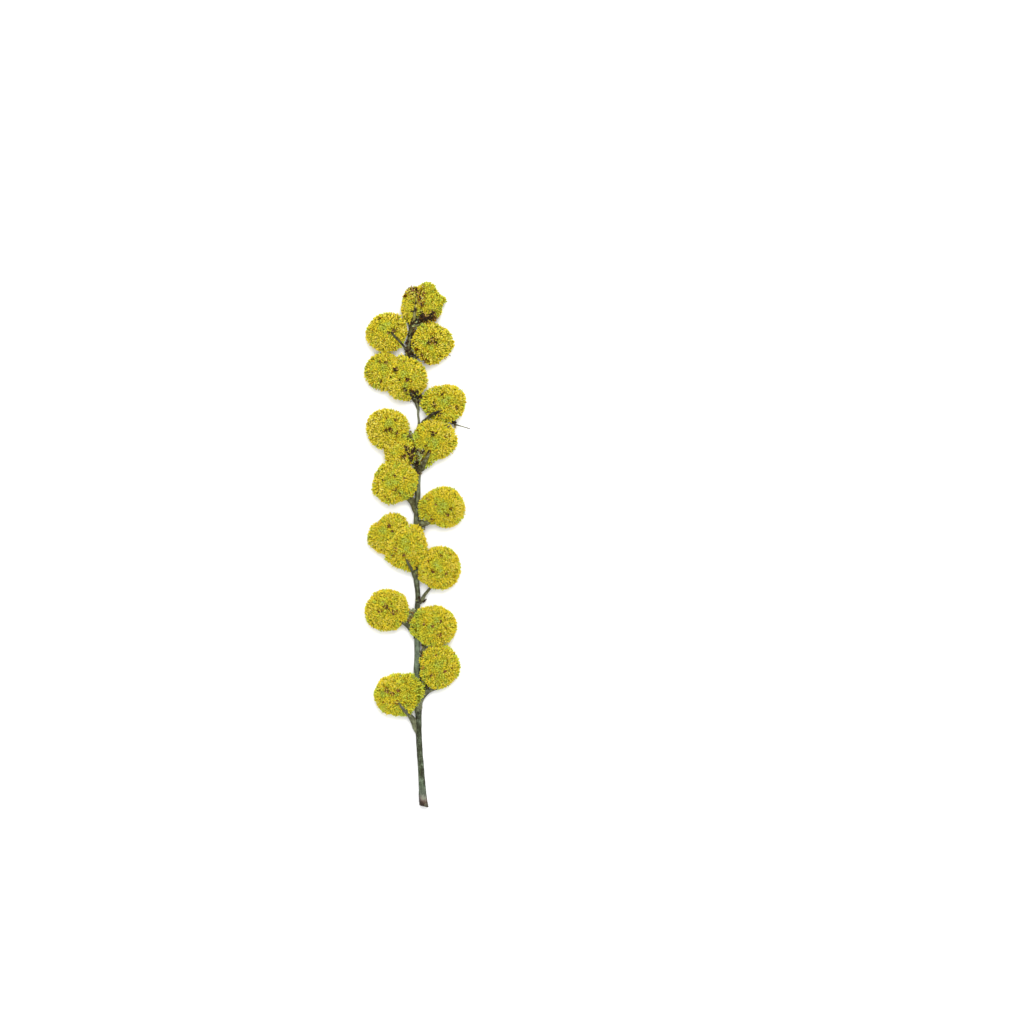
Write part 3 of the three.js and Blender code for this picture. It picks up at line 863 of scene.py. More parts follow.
@dataclass(frozen=True)
class FlowerStalk:
    """A short stalk that leaves the stem in a flare and carries one head.

    Its bare part lies on the head, in a parting of the stamens, and from there it sinks into the head. Where
    it has a web, that many millimetres at most fill the corner between it and the stem.
    """

    head: "FlowerHead"
    end_width: float = 0.34
    flare: float = 0.3
    sunk: float = 0.04
    dip: float = 0.5
    sides: int = 14
    stations: int = 44

    def middle_line(self, stem: MainStem) -> np.ndarray:
        """Points along the middle line, each with the stalk's width there."""
        head = self.head
        low, high = stem.height_at(head.stalk[0][1]), head.thickness * head.climb
        points = [(*xy, low + (high - low) * rise) for xy, rise in zip(head.stalk, STALK_RISE)]
        line = smooth_route(points, self.stations)
        share = np.linspace(0, 1, self.stations)
        inside = smoothstep(1.02, 0.84, head.share_out(line[:, 0], line[:, 1]))
        top = head.top_height(line[:, 0], line[:, 1]) - self.sunk
        shown = 1 - smoothstep(head.bare, head.bare + 0.12, share)
        line[:, 2] += inside * shown * np.maximum(top - line[:, 2], 0)
        line[:, 2] -= self.dip * smoothstep(head.bare, head.bare + 0.25, share)
        line[:, 2] = np.maximum(line[:, 2], self.end_width / 2)
        width = head.stalk_width + (self.end_width - head.stalk_width) * smoothstep(0.1, 0.9, share)
        width *= 1 + self.flare * (1 - smoothstep(0.05, 0.3, share)) + 0.2 * smoothstep(0.86, 0.97, share)
        width *= 0.35 + 0.65 * smoothstep(0.0, 0.2, share)
        width *= np.sqrt(np.clip(1 - np.clip((share - 0.93) / 0.075, 0, 1) ** 2, 0.05, 1))
        return np.column_stack([line, width])

    def bare_line(self, stem: MainStem) -> np.ndarray:
        """The part of the middle line that no stamens cover."""
        line = self.middle_line(stem)
        return line[: max(2, round(self.head.bare * len(line)))]

    def web_reach(self, stem: MainStem, line: np.ndarray, ahead: np.ndarray) -> np.ndarray:
        """How far the stalk reaches towards the stem where a web fills their corner.

        Args:
            stem: The stem.
            line: The stalk's middle line, with its width.
            ahead: The first number of each frame's first axis, which is how squarely it crosses the stem.

        Returns:
            A length for each point of the line.
        """
        trunk = stem.middle_line(WEB_STEPS)
        gap = np.abs(line[:, 0] - np.interp(line[:, 1], trunk[:, 1], trunk[:, 0]))
        gap -= (line[:, 3] + np.interp(line[:, 1], trunk[:, 1], trunk[:, 3])) / 2
        reach = np.maximum(gap, 0) / np.maximum(np.abs(ahead), 0.4) + 0.15
        share, web = np.linspace(0, 1, self.stations), self.head.web
        return np.minimum(reach, web * np.clip(1 - share / (0.3 + 0.6 * web), 0, 1) ** 1.5)

    def build(self, number: int, stem: MainStem, finish: bpy.types.Material) -> None:
        """Makes the stalk."""
        line = self.middle_line(stem)
        frames = frames_along(np.gradient(line[:, :3], axis=0), np.zeros(len(line)))
        turn = ring_of(self.sides)
        rough = knobbly(turn, np.arange(self.stations) * 0.45 + number * 7, 1.2)
        radius = line[:, 3:4] / 2 * (1 + 0.05 * np.cos(4 * turn[None] + number) + 0.12 * rough)
        across = radius * np.sin(turn)
        if self.head.web:
            stem_side = math.copysign(1.0, line[-1, 0] - line[0, 0])
            reach = self.web_reach(stem, line, frames[:, 0, 0])
            across += stem_side * reach[:, None] * np.maximum(stem_side * np.sin(turn), 0)
        stalk = twig(f"stalk_{number:02d}", line, frames, across, -radius * np.cos(turn))
        start, end = to_frame(line[0, :3]), to_frame(line[-1, :3])

        def age(points: np.ndarray) -> np.ndarray:
            """How dark the bark is, from the stem to the head."""
            share = np.clip((points - start) @ (end - start) / np.dot(end - start, end - start), 0, 1)
            return self.head.stalk_age * (0.25 + 0.75 * smoothstep(0.1, 0.9, share))

        point_values(stalk, "age", age)
        settle(stalk, [finish], "stalk", f"flower_stalk_{number:02d}")


@dataclass(frozen=True)
class Bract:
    """A dried scale at the foot of a stalk, bowed and drawn out to a point."""

    root: tuple[float, float]
    points: float
    length: float = 0.95
    width: float = 0.5
    height: float = 0.42
    bow: float = 0.12
    thickness: float = 0.09
    dryness: float = 0.85

    def build(self, number: int, finish: bpy.types.Material) -> None:
        """Makes the bract."""
        bm = bmesh.new()
        bmesh.ops.create_grid(bm, x_segments=12, y_segments=8, size=0.5)
        for vert in bm.verts:
            share = vert.co.x + 0.5
            bulge = math.sin(math.pi * min(share * 0.93 + 0.05, 1.0)) ** 0.6
            half = self.width / 2 * bulge * (1 - 0.55 * share)
            across = vert.co.y * 2
            curl = noise.noise((share * 3, across * 2, number * 5.0)) * 0.06
            rise = self.bow * (1 - across * across) + self.bow * 1.4 * math.sin(share * 2.6) + curl
            vert.co = Vector((share * self.length, across * half, rise - self.bow - 0.04 * (across == 0)))
        bmesh.ops.solidify(bm, geom=bm.faces, thickness=self.thickness)
        turned = Matrix.Rotation(math.radians(self.points), 4, "Z")
        placed = Matrix.Translation((*self.root, self.height)) @ turned
        bmesh.ops.transform(bm, matrix=placed, verts=bm.verts)
        for vert in bm.verts:
            vert.co = Vector(to_frame(vert.co))
        bmesh.ops.recalc_face_normals(bm, faces=bm.faces)
        piece = as_object(f"scale_{number:02d}", bm)
        point_values(piece, "dryness", self.dryness)
        settle(piece, [finish], "bract", f"bract_{number:02d}")


def leaf_template(narrowing: float, flatness: float, bend: float) -> Template:
    """Models a narrow leaf of unit length along X: thickest near its root, and bent up at its end.

    Args:
        narrowing: How much narrower it gets, of its width.
        flatness: Its thickness, of its width.
        bend: How far its end bends up, of its length.

    Returns:
        The shape.
    """
    bm = bmesh.new()
    bmesh.ops.create_icosphere(bm, subdivisions=2, radius=0.5)
    for vert in bm.verts:
        narrow = 1 - narrowing * max(vert.co.x * 2, 0) ** 1.5
        vert.co.y *= narrow
        vert.co.z = vert.co.z * flatness * narrow + bend * vert.co.x**2
    return Template.of(bm)


class Lie(Enum):
    """Where dried scales cling."""

    ON_STEM = "round the stem"
    PILED = "piled up between the stem and a head"
    CAUGHT = "on the stamens of the heads, and lower down beside them"


ON_STEM, PILED, CAUGHT = Lie


@dataclass(frozen=True)
class Litter:
    """A patch of dried scales."""

    lie: Lie
    x: float
    y: float
    spread: float
    count: int
    length: float = 0.5
    dry: float = 0.75  # share of brown ones, the rest being olive


@dataclass(frozen=True)
class JointScales:
    """The dried scales and flower crumbs round the joints of the stem."""

    # Piled patches in the gaps between the stem and the heads: dried crumbs, partly a dark fill of painted
    # shade.
    places: tuple[Litter, ...] = table(
        Litter, ON_STEM, (0.9, 19.7, 0.25, 10), PILED, (1.5, 19.8, 0.3, 26, 0.45, 0.5),
        (0.95, 19.5, 0.4, 20, 0.5, 0.7), (1.4, 20.5, 0.45, 30, 0.6, 0.95), (0.8, 19.9, 0.45, 30, 0.5, 0.8),
        (1.7, 20.3, 0.4, 24, 0.5, 0.9), (0.75, 21.3, 0.5, 26, 0.5, 0.35), (0.7, 22.4, 0.4, 18, 0.45, 0.5),
        (0.7, 23.4, 0.5, 26, 0.5, 0.85), (0.7, 24.6, 0.5, 20, 0.45, 0.6), (0.75, 25.6, 0.4, 20, 0.5, 0.9),
        (1.0, 26.8, 0.5, 16, 0.5, 0.4), ON_STEM, (-0.4, 28.4, 0.4, 5), (0.4, 34.2, 0.5, 9),
        (-0.3, 39.2, 0.6, 10, 0.5, 0.5), PILED, (-1.0, 39.9, 0.5, 12, 0.5, 0.4), CAUGHT,
        (-0.2, 40.0, 0.4, 16, 0.5, 0.95), ON_STEM, (0.1, 44.9, 0.5, 8), PILED,
        (0.95, 46.35, 0.3, 7, 0.35, 0.6), ON_STEM, (-0.67, 49.5, 0.16, 8, 0.35, 1.0),
        (-0.75, 50.4, 0.16, 8, 0.35, 1.0), (0.0, 55.6, 0.45, 10, 0.45, 0.6), (0.2, 57.0, 0.8, 34, 0.5, 0.5),
        PILED, (0.0, 57.7, 0.6, 50, 0.45, 0.6), (0.7, 57.8, 0.5, 36, 0.45, 0.35),
        (0.9, 57.0, 0.3, 16, 0.4, 0.8), CAUGHT, (-0.5, 57.1, 0.35, 18, 0.5, 0.9),
        (-1.0, 57.9, 0.35, 18, 0.5, 0.9), (-1.5, 58.7, 0.3, 14, 0.45, 0.95), (-2.1, 59.8, 0.3, 8, 0.4, 0.9),
        (-0.7, 59.2, 0.35, 16, 0.5, 0.9), (0.0, 59.2, 0.4, 18, 0.5, 0.9), (0.8, 59.0, 0.35, 14, 0.5, 0.8),
        ON_STEM, (-0.4, 60.1, 0.6, 14, 0.5, 0.5), PILED, (-0.5, 62.0, 0.6, 12, 0.45, 0.35), ON_STEM,
        (-0.3, 67.8, 0.7, 24, 0.5, 0.6), CAUGHT, (-0.8, 68.9, 0.4, 16, 0.5, 0.8),
        (-0.1, 68.9, 0.4, 22, 0.5, 0.9), (0.5, 68.2, 0.35, 20, 0.5, 0.9), PILED,
        (-1.2, 68.1, 0.5, 16, 0.45, 0.6), CAUGHT, (-2.0, 69.0, 0.5, 10, 0.45, 0.6),
        (3.6, 65.5, 0.5, 16, 0.4, 1.0), (2.7, 65.2, 0.3, 8, 0.4, 0.9), ON_STEM,
        (-1.6, 75.2, 0.6, 36, 0.45, 0.85), (-1.4, 76.2, 0.5, 30, 0.45, 0.85),
        (-1.1, 77.4, 0.35, 26, 0.45, 0.9), (-0.75, 78.8, 0.4, 30, 0.45, 0.9), CAUGHT,
        (-1.0, 75.4, 0.3, 12, 0.4, 0.9), (-0.9, 77.0, 0.3, 12, 0.4, 0.9), PILED,
        (-0.5, 79.6, 0.7, 40, 0.5, 0.45), (0.2, 79.9, 0.4, 24, 0.5, 0.6), ON_STEM,
        (-0.2, 80.6, 0.5, 40, 0.5, 0.6), PILED, (0.0, 81.0, 0.5, 40, 0.45, 0.5),
        (0.45, 80.6, 0.35, 26, 0.5, 0.5), CAUGHT, (0.55, 81.0, 0.4, 44, 0.5, 1.0),
        (1.2, 81.15, 0.4, 36, 0.45, 1.0), (0.75, 81.8, 0.3, 20, 0.45, 1.0), (2.1, 81.5, 0.45, 26, 0.4, 0.9),
        (2.5, 82.2, 0.4, 14, 0.35, 0.9), (-0.95, 82.4, 0.16, 10, 0.35, 1.0),
        (-0.3, 82.7, 0.22, 14, 0.35, 1.0), (-0.15, 83.9, 0.2, 14, 0.35, 1.0),
        (-0.85, 83.9, 0.14, 8, 0.3, 1.0), (-0.2, 85.5, 0.2, 10, 0.35, 1.0),
        (0.55, 83.6, 0.14, 8, 0.35, 0.9), (0.6, 84.5, 0.14, 8, 0.35, 0.9), PILED,
        (5.9, 64.0, 0.5, 12, 0.35, 1.0), (-1.3, 61.8, 0.55, 36, 0.5, 0.0), CAUGHT,
        (0.62, 25.3, 0.7, 24, 0.4, 0.6), PILED, (6.1, 63.5, 0.4, 12, 0.4, 0.4),
        (-1.5, 31.4, 0.9, 60, 0.5, 0.0), (-1.0, 32.1, 1.1, 60, 0.5, 0.0), CAUGHT,
        (0.25, 58.4, 0.8, 44, 0.5, 0.1),
    )

    def build(self, stem: MainStem, heads: Sequence["FlowerHead"], finish: bpy.types.Material) -> None:
        """Makes the scales as one piece."""
        scale = leaf_template(0.75, 0.35, 0.35)
        rng = np.random.default_rng(SCALE_SEED)
        line = stem.middle_line(SCALE_STEPS)
        gathering = Gathering()
        for litter in self.places:
            count = litter.count
            y = litter.y + rng.normal(0, 0.55, count) * litter.spread
            turn = rng.uniform(-1.5, 1.5, count)
            heading = np.column_stack([np.sin(turn) + rng.normal(0, 0.3, count),
                                       rng.normal(0.35, 0.6, count), rng.uniform(0.0, 0.35, count)])
            if litter.lie is ON_STEM:
                near = line[np.abs(line[None, :, 1] - y[:, None]).argmin(axis=1)]
                x = near[:, 0] + near[:, 3] / 2 * np.sin(turn)
                z = near[:, 2] + stem.half_height(near[:, 3]) * np.cos(turn)
            else:
                x = litter.x + rng.normal(0, 0.4, count) * litter.spread
                z = rng.uniform(0.12, 0.95, count)
            if litter.lie is CAUGHT:
                tops = [np.where(head.share_out(x, y) < 1, head.top_height(x, y), 0) for head in heads]
                z = np.maximum(z, np.max(tops, axis=0))
            heading /= np.linalg.norm(heading, axis=1, keepdims=True)
            length = litter.length * rng.uniform(0.55, 1.25, count)
            frames = frames_along(heading, rng.uniform(-0.6, 0.6, count))[:, :, [2, 0, 1]]
            sizes = np.column_stack([length, length * rng.uniform(0.35, 0.65, count), length * 0.5])
            middles = np.column_stack([x, y, z]) + heading * length[:, None] * 0.35
            placed = scale.placed(middles, frames, sizes)
            placed[:, :, 2] = np.maximum(placed[:, :, 2], FLOOR_GAP)
            dryness = np.where(rng.random(count) < litter.dry, rng.uniform(0.76, 1.0, count),
                               rng.uniform(0.0, 0.55, count))
            gathering.add(scale, placed, dryness)
        settle(as_object("joint_scales", gathering.mesh("joint_scales")), [finish], "bract")


@dataclass(frozen=True)
class WitheredBud:
    """A shrivelled bud that clings to the edge of a head."""

    centre: tuple[float, float, float] = (5.9, 64.0, 1.0)
    half: tuple[float, float, float] = (0.6, 0.3, 0.32)
    pleats: int = 8
    dryness: float = 0.95

    def build(self, finish: bpy.types.Material) -> None:
        """Makes the bud."""
        bm = bmesh.new()
        bmesh.ops.create_icosphere(bm, subdivisions=4, radius=1.0)
        for vert in bm.verts:
            ahead = vert.co.normalized()
            pleat = abs(math.sin(self.pleats / 2 * math.atan2(ahead.z, ahead.y))) * 0.22
            crumple = 0.22 * noise.noise(ahead * 2.3) + 0.1 * noise.noise(ahead * 6.0)
            size = 0.9 - pleat * (1 - ahead.x**2) + crumple
            vert.co = Vector(to_frame(np.array(self.centre) + np.array(ahead * size) * np.array(self.half)))
        bud = as_object("bud", bm)
        point_values(bud, "dryness", self.dryness)
        settle(bud, [finish], "bract", "withered_bud")


@dataclass(frozen=True)
class DryThread:
    """A thin dry thread that sticks out of the sprig."""

    route: tuple[tuple[float, float, float], ...]
    width: float
    age: float = 0.02

    def build(self, number: int, finish: bpy.types.Material) -> None:
        """Makes the thread."""
        line, turn = smooth_route(self.route, 40), ring_of(8)
        frames = frames_along(np.gradient(line, axis=0), np.zeros(len(line)))
        taper = np.linspace(1.15, 0.6, len(line))[:, None] * self.width / 2
        thread = twig(f"thread_{number:02d}", line, frames, taper * np.sin(turn), -taper * np.cos(turn))
        point_values(thread, "age", self.age)
        settle(thread, [finish], "bract")


# ----------------------------------------------------------------------------------------------------------
# Flower heads


class Floret(Enum):
    """What shows in an open place of a head."""

    CALYX = "a dried flower with five lobes"
    BUD = "closed green buds"
    SPECK = "a scrap of a dried flower"
    SPRAY = "dried lobes that lie spread out on the stamens"


CALYX, BUD, SPECK, SPRAY = Floret


@dataclass(frozen=True)
class Mark:
    """An open place on a head where its florets show."""

    kind: Floret
    x: float
    y: float
    size: float


@dataclass(frozen=True)
class Lobe:
    """A tuft that stands out beyond a head's round outline. Angles are degrees from +X."""

    towards: float
    out: float
    spread: float
    fresh: float = 0.0  # how much greener its stamens are


def tufts(*rows: Row) -> tuple[Lobe, ...]:
    """The tufts of a head, one from each row."""
    return tuple(Lobe(*row) for row in rows)


def stamen_template() -> tuple[Template, np.ndarray, np.ndarray, np.ndarray]:
    """Models one stamen: a thread of unit length along Z and a round anther of unit size round its end.

    Returns:
        The shape, whether each point is of the anther, and each point's U offset and V in the stamens' map.
    """
    bm = bmesh.new()
    bmesh.ops.create_cone(bm, cap_ends=True, segments=3, radius1=1.0, radius2=0.6, depth=1.0)
    bmesh.ops.translate(bm, vec=(0, 0, 0.5), verts=bm.verts)
    thread_count = len(bm.verts)
    bmesh.ops.create_icosphere(bm, subdivisions=1, radius=1.0)
    shape = Template.of(bm)
    anther = np.arange(len(shape.points)) >= thread_count
    around = np.arctan2(shape.points[:, 1], shape.points[:, 0]) / math.pi
    v = np.where(anther, 0.92 + 0.07 * shape.points[:, 2], 0.02 + 0.74 * shape.points[:, 2] + 0.02 * around)
    return shape, anther, around, v


def bud_template() -> Template:
    """Models a closed bud: a dome with five soft ridges."""
    bm = bmesh.new()
    bmesh.ops.create_uvsphere(bm, u_segments=10, v_segments=6, radius=0.5)
    for vert in bm.verts:
        vert.co.xy *= 1 + 0.12 * math.cos(5 * math.atan2(vert.co.y, vert.co.x))
    return Template.of(bm)


def floret_template() -> Template:
    """Models an open floret: a small funnel with a lobed mouth that the stamens come out of."""
    bm = bmesh.new()
    bmesh.ops.create_cone(bm, cap_ends=True, segments=10, radius1=0.22, radius2=0.42, depth=1.0)
    mouth = max(bm.faces, key=lambda f: f.calc_center_median().z)
    bmesh.ops.inset_region(bm, faces=[mouth], thickness=0.12, depth=-0.3)
    for vert in (v for v in bm.verts if v.co.z > 0.4):
        wave = math.cos(5 * math.atan2(vert.co.y, vert.co.x))
        vert.co.xy *= 1 + 0.22 * wave
        vert.co.z += 0.12 * wave
    return Template.of(bm)


@dataclass(frozen=True)
class FlowerHead:
    """A round head, pressed to a thick disc with a flat underside and a soft edge of stamens."""

    centre: tuple[float, float]
    half: tuple[float, float]
    stalk: tuple[tuple[float, float], ...]
    climb: float
    bare: float = 0.3  # share of the stalk that no stamens cover
    lobes: tuple[Lobe, ...] = ()
    marks: tuple[Mark, ...] = ()
    thickness: float = HEAD_THICKNESS
    stalk_width: float = 0.6
    stalk_age: float = 0.3
    web: float = 0.0
    parched: float = 1.0  # how dark its open places, how deep its furrows and how coarse its stamens are
    layer: int = 0
    richness: float = 0.0  # above 0 the stamens are deeper yellow, below it greener
    stamens_per_mm2: float = 23.0
    florets: int = 46

    @property
    def heart(self) -> np.ndarray:
        """The point that the head grows from."""
        return np.array([*self.centre, 0.45 * self.thickness])

    def reach(self, turn: np.ndarray | float) -> np.ndarray:
        """How far the outline is from the centre towards an angle in radians."""
        across, along = self.half
        total = 1 / np.hypot(np.cos(turn) / across, np.sin(turn) / along)
        for lobe in self.lobes:
            off = np.asarray(turn) - math.radians(lobe.towards)
            off = np.arctan2(np.sin(off), np.cos(off)) / math.radians(lobe.spread)
            total = total + lobe.out * np.exp(-off * off)
        return total

    def parting(self, others: Sequence["FlowerHead"]) -> list[tuple[np.ndarray, float, float]]:
        """The slanted planes that part this head from its neighbours.

        Args:
            others: Every head of the sprig.

        Returns:
            For each plane its direction in plan, its distance from the centre and its lean.
        """
        planes = []
        for other in others:
            gap = np.array(other.centre) - np.array(self.centre)
            distance, angle = float(np.hypot(*gap)), math.atan2(gap[1], gap[0])
            ours, theirs = float(self.reach(angle)), float(other.reach(angle + math.pi))
            if other is not self and distance <= ours + theirs + 1:
                lean = float(np.sign(self.layer - other.layer)) * OVERHANG_SLOPE
                planes.append((gap / distance, (distance + ours - theirs) / 2, lean))
        return planes

    def profile(self, polar: np.ndarray) -> tuple[np.ndarray, np.ndarray]:
        """How far out, of the outline, and how high the surface lies at angles from the top, in radians."""
        level = np.sign(np.cos(polar)) * np.abs(np.cos(polar)) ** EDGE_FULLNESS
        height = (np.maximum(level, -UNDERSIDE) + UNDERSIDE) / (1 + UNDERSIDE) * self.thickness
        return np.sin(polar) ** EDGE_FULLNESS, height

    def surface(self, polar: np.ndarray, turn: np.ndarray, planes: Sequence[tuple]) -> np.ndarray:
        """Points of the head's surface.

        Args:
            polar: The angle of each point from the top, in radians.
            turn: The angle of each point round the middle.
            planes: The planes that part the head from its neighbours.

        Returns:
            One point in each row.
        """
        out, height = self.profile(polar)
        uneven = sum(np.sin(k * turn + k * self.centre[1]) / k for k in (3, 5, 8, 13)) * 0.04
        reach = self.reach(turn) * (1 + uneven) * out
        ahead = np.stack([np.cos(turn), np.sin(turn)], 1)
        for towards, distance, lean in planes:
            facing = ahead @ towards
            edge = distance + lean * (height - HEAD_THICKNESS / 2) - CLEARANCE / 2
            reach = np.where(facing > 1e-6, np.minimum(reach, edge / np.maximum(facing, 1e-6)), reach)
        return np.column_stack([ahead * reach[:, None] + self.centre, height])

    def share_out(self, x: np.ndarray, y: np.ndarray) -> np.ndarray:
        """How far out points in plan lie: 0 at the centre and 1 on the outline."""
        dx, dy = np.asarray(x) - self.centre[0], np.asarray(y) - self.centre[1]
        return np.hypot(dx, dy) / self.reach(np.arctan2(dy, dx))

    def top_height(self, x: np.ndarray, y: np.ndarray) -> np.ndarray:
        """The height of the head's upper surface over points in plan."""
        out = np.clip(self.share_out(x, y), 0, 0.999) ** (1 / EDGE_FULLNESS)
        level = (1 - out**2) ** (EDGE_FULLNESS / 2)
        return (level + UNDERSIDE) / (1 + UNDERSIDE) * self.thickness

    def spread(self, count: int, underneath: float) -> tuple[np.ndarray, np.ndarray]:
        """Spreads points evenly over the surface.

        Args:
            count: How many.
            underneath: How dense they are on the underside, of the density on top.

        Returns:
            The polar angles and the turns.
        """
        polar = np.linspace(0.02, math.pi - 0.02, 400)
        out, height = self.profile(polar)
        out = out * self.half[0]
        dense = 1 - (1 - underneath) * smoothstep(1.7, 2.2, polar)
        area = np.cumsum(out * np.hypot(np.gradient(out), np.gradient(height)) * dense)
        i = np.arange(count)
        return np.interp((i + 0.5) / count * area[-1], area, polar), i * GOLDEN_TURN

    def tones(
        self, tips: np.ndarray, pattern: np.ndarray, number: int, rng: np.random.Generator
    ) -> np.ndarray:
        """The tone of each stamen: brown at 0, green below the middle, golden above it and pale at 1.

        Args:
            tips: The stamens' tips.
            pattern: The strokes that they lie in, below 0 in the furrows between them.
            number: The head's number.
            rng: Where their small differences come from.

        Returns:
            One tone for each stamen.
        """
        count = len(tips)
        off = tips[:, :2] - self.centre
        turn = np.degrees(np.arctan2(off[:, 1], off[:, 0]))
        out = self.share_out(tips[:, 0], tips[:, 1])
        inner = out < 0.4
        patches = ripple(tips, 0.5, number)
        broad = ripple(tips, 1.2, number + 40)
        varied = pattern + rng.normal(0, 0.5, count)
        tone = rng.normal(GOLD + self.richness, 0.01 + 0.05 * self.parched, count)
        tone += 0.05 * pattern + 0.12 * patches + 0.1 * broad
        # Glints: stamens on the ridges of the strokes take the pale GLINT tone, a painted highlight.
        glints = varied > 1.75 - 0.3 * self.parched - 0.85 * inner
        tone = np.where(glints, GLINT, np.minimum(tone, BRIGHTEST))
        tone -= 0.11 * (1 - smoothstep(0.12, 0.5, out))
        tone -= 0.06 * smoothstep(0.85, 1.0, out)
        for lobe in self.lobes:
            aside = ((turn - lobe.towards + 180) % 360 - 180) / (lobe.spread + 12)
            tone -= lobe.fresh * np.exp(-aside * aside) * smoothstep(0.25, 0.7, out)
        # Drab brown stamens lie mostly in the furrows: dried stamens, and painted shade in the furrows.
        drab_below = -2.05 + 0.5 * self.parched - 0.4 * inner + 0.8 * smoothstep(-0.3, -1.2, patches)
        brown = rng.uniform(0.13, 0.24, count) + 0.14 * (rng.random(count) < 0.3)
        tone = np.where((varied < drab_below) & (out < 0.93), brown, tone)
        for mark in self.marks:
            near = np.hypot(tips[:, 0] - mark.x, tips[:, 1] - mark.y) / mark.size
            if mark.kind is BUD:
                tone += (GREEN - tone) * (0.92 * np.exp(-((near / 0.6) ** 2)))
            elif mark.kind is SPRAY:
                dull = rng.random(count) < 0.55 * np.exp(-((near / 0.45) ** 2))
                tone = np.where(dull, rng.uniform(0.08, 0.34, count), tone)
            else:
                dark = rng.random(count) < (0.4 + 0.45 * self.parched) * np.exp(-((near / 0.5) ** 2))
                tone = np.where(dark, rng.uniform(0.0, 0.16, count) + 0.08 * (1 - self.parched), tone)
        return np.clip(tone, 0.03, 0.97)

    def kept(
        self, tips: np.ndarray, twigs: np.ndarray, bare: np.ndarray, rng: np.random.Generator
    ) -> np.ndarray:
        """Which stamens stay, once those in the way of a twig or an open place are gone.

        Args:
            tips: The stamens' tips.
            twigs: Points along the stem and stalks, with the width there.
            bare: Those of the head's own stalk, where it parts the stamens.
            rng: Where chance comes from.

        Returns:
            Whether each stays.
        """
        near = twigs[np.hypot(twigs[:, 0] - self.centre[0], twigs[:, 1] - self.centre[1]) < 6]
        stays = np.ones(len(tips), bool)
        if len(near):
            half = near[None, :, 3] / 2
            apart = np.linalg.norm(tips[:, None] - near[None, :, :3], axis=2) - half
            stays &= apart.min(axis=1) > TWIG_CLEARANCE
            over = np.linalg.norm(tips[:, None, :2] - near[None, :, :2], axis=2) < half
            above = tips[:, None, 2] - near[None, :, 2]
            stays &= ~(over & (above > 0) & (above < 0.45)).any(axis=1)
        aside = np.linalg.norm(tips[:, None, :2] - bare[None, :, :2], axis=2) - bare[None, :, 3] / 2
        parted = ((aside < 0.03) & (tips[:, None, 2] > bare[None, :, 2] - 0.2)).any(axis=1)
        stays &= ~parted | (rng.random(len(tips)) < 0.2)
        on_top = (tips[:, 2] > 0.55 * self.thickness) & (self.share_out(tips[:, 0], tips[:, 1]) < 0.82)
        for mark in self.marks:
            gap = np.hypot(tips[:, 0] - mark.x, tips[:, 1] - mark.y)
            chance = {BUD: 0.18, SPRAY: 0.0}.get(mark.kind, 0.4 + 0.4 * self.parched)
            stays &= ~(on_top & (gap < 0.4 * mark.size) & (rng.random(len(tips)) < chance))
        return stays

    def sunk(self, polar: np.ndarray, pattern: np.ndarray, rng: np.random.Generator) -> np.ndarray:
        """How far below the surface each stamen ends: deep in the furrows, and unevenly round the edge."""
        count = len(polar)
        furrow = pattern + rng.normal(0, 0.7, count) < -0.35
        deep = rng.uniform(0.06, 0.28, count) * (0.75 + 0.45 * self.parched)
        edge = np.exp(-(((polar - 1.45) / 0.35) ** 2))
        sunk = np.where(furrow, deep, rng.uniform(-0.05, 0.07, count))
        return sunk + edge * (0.04 - np.abs(rng.normal(0, 0.12, count)))

    def stamen_tips(
        self, planes: Sequence[tuple], twigs: np.ndarray, bare: np.ndarray, rng: np.random.Generator
    ) -> tuple[np.ndarray, np.ndarray]:
        """Where the stamens reach the head's surface.

        Args:
            planes: The planes that part the head from its neighbours.
            twigs: Points along the stem and stalks, with the width there.
            bare: Those of the head's own stalk, where it parts the stamens.
            rng: Where their small differences come from.

        Returns:
            The points, and how far each is from the top as an angle.
        """
        area = math.pi * (self.reach(np.linspace(0, FULL_TURN, 90)) ** 2).mean() * HEAD_AREA
        count = int(area * self.stamens_per_mm2 * (1.8 - 0.8 * self.parched))
        polar, turn = self.spread(count, STAMENS_BELOW)
        polar = np.clip(polar + rng.normal(0, 0.03, len(polar)), 0.01, math.pi - 0.01)
        turn = turn + rng.normal(0, 0.05, len(polar))
        tips = self.surface(polar, turn, planes)
        stays = self.kept(tips, twigs, bare, rng)
        return tips[stays], polar[stays]

    def stamen_roots(self, tips: np.ndarray, planes: Sequence[tuple], rng: np.random.Generator) -> np.ndarray:
        """Where the stamens start: each just inside a floret's mouth that is near its tip."""
        mouths, _ = self.floret_places(planes)
        apart = (((tips[:, None] - mouths[None]) * [1, 1, 0.7]) ** 2).sum(axis=2)
        nearest = np.argmin(apart + rng.uniform(0, 0.25, (len(tips), len(mouths))), axis=1)
        return self.heart + (mouths[nearest] - self.heart) * 0.85 + rng.normal(0, 0.07, (len(tips), 3))

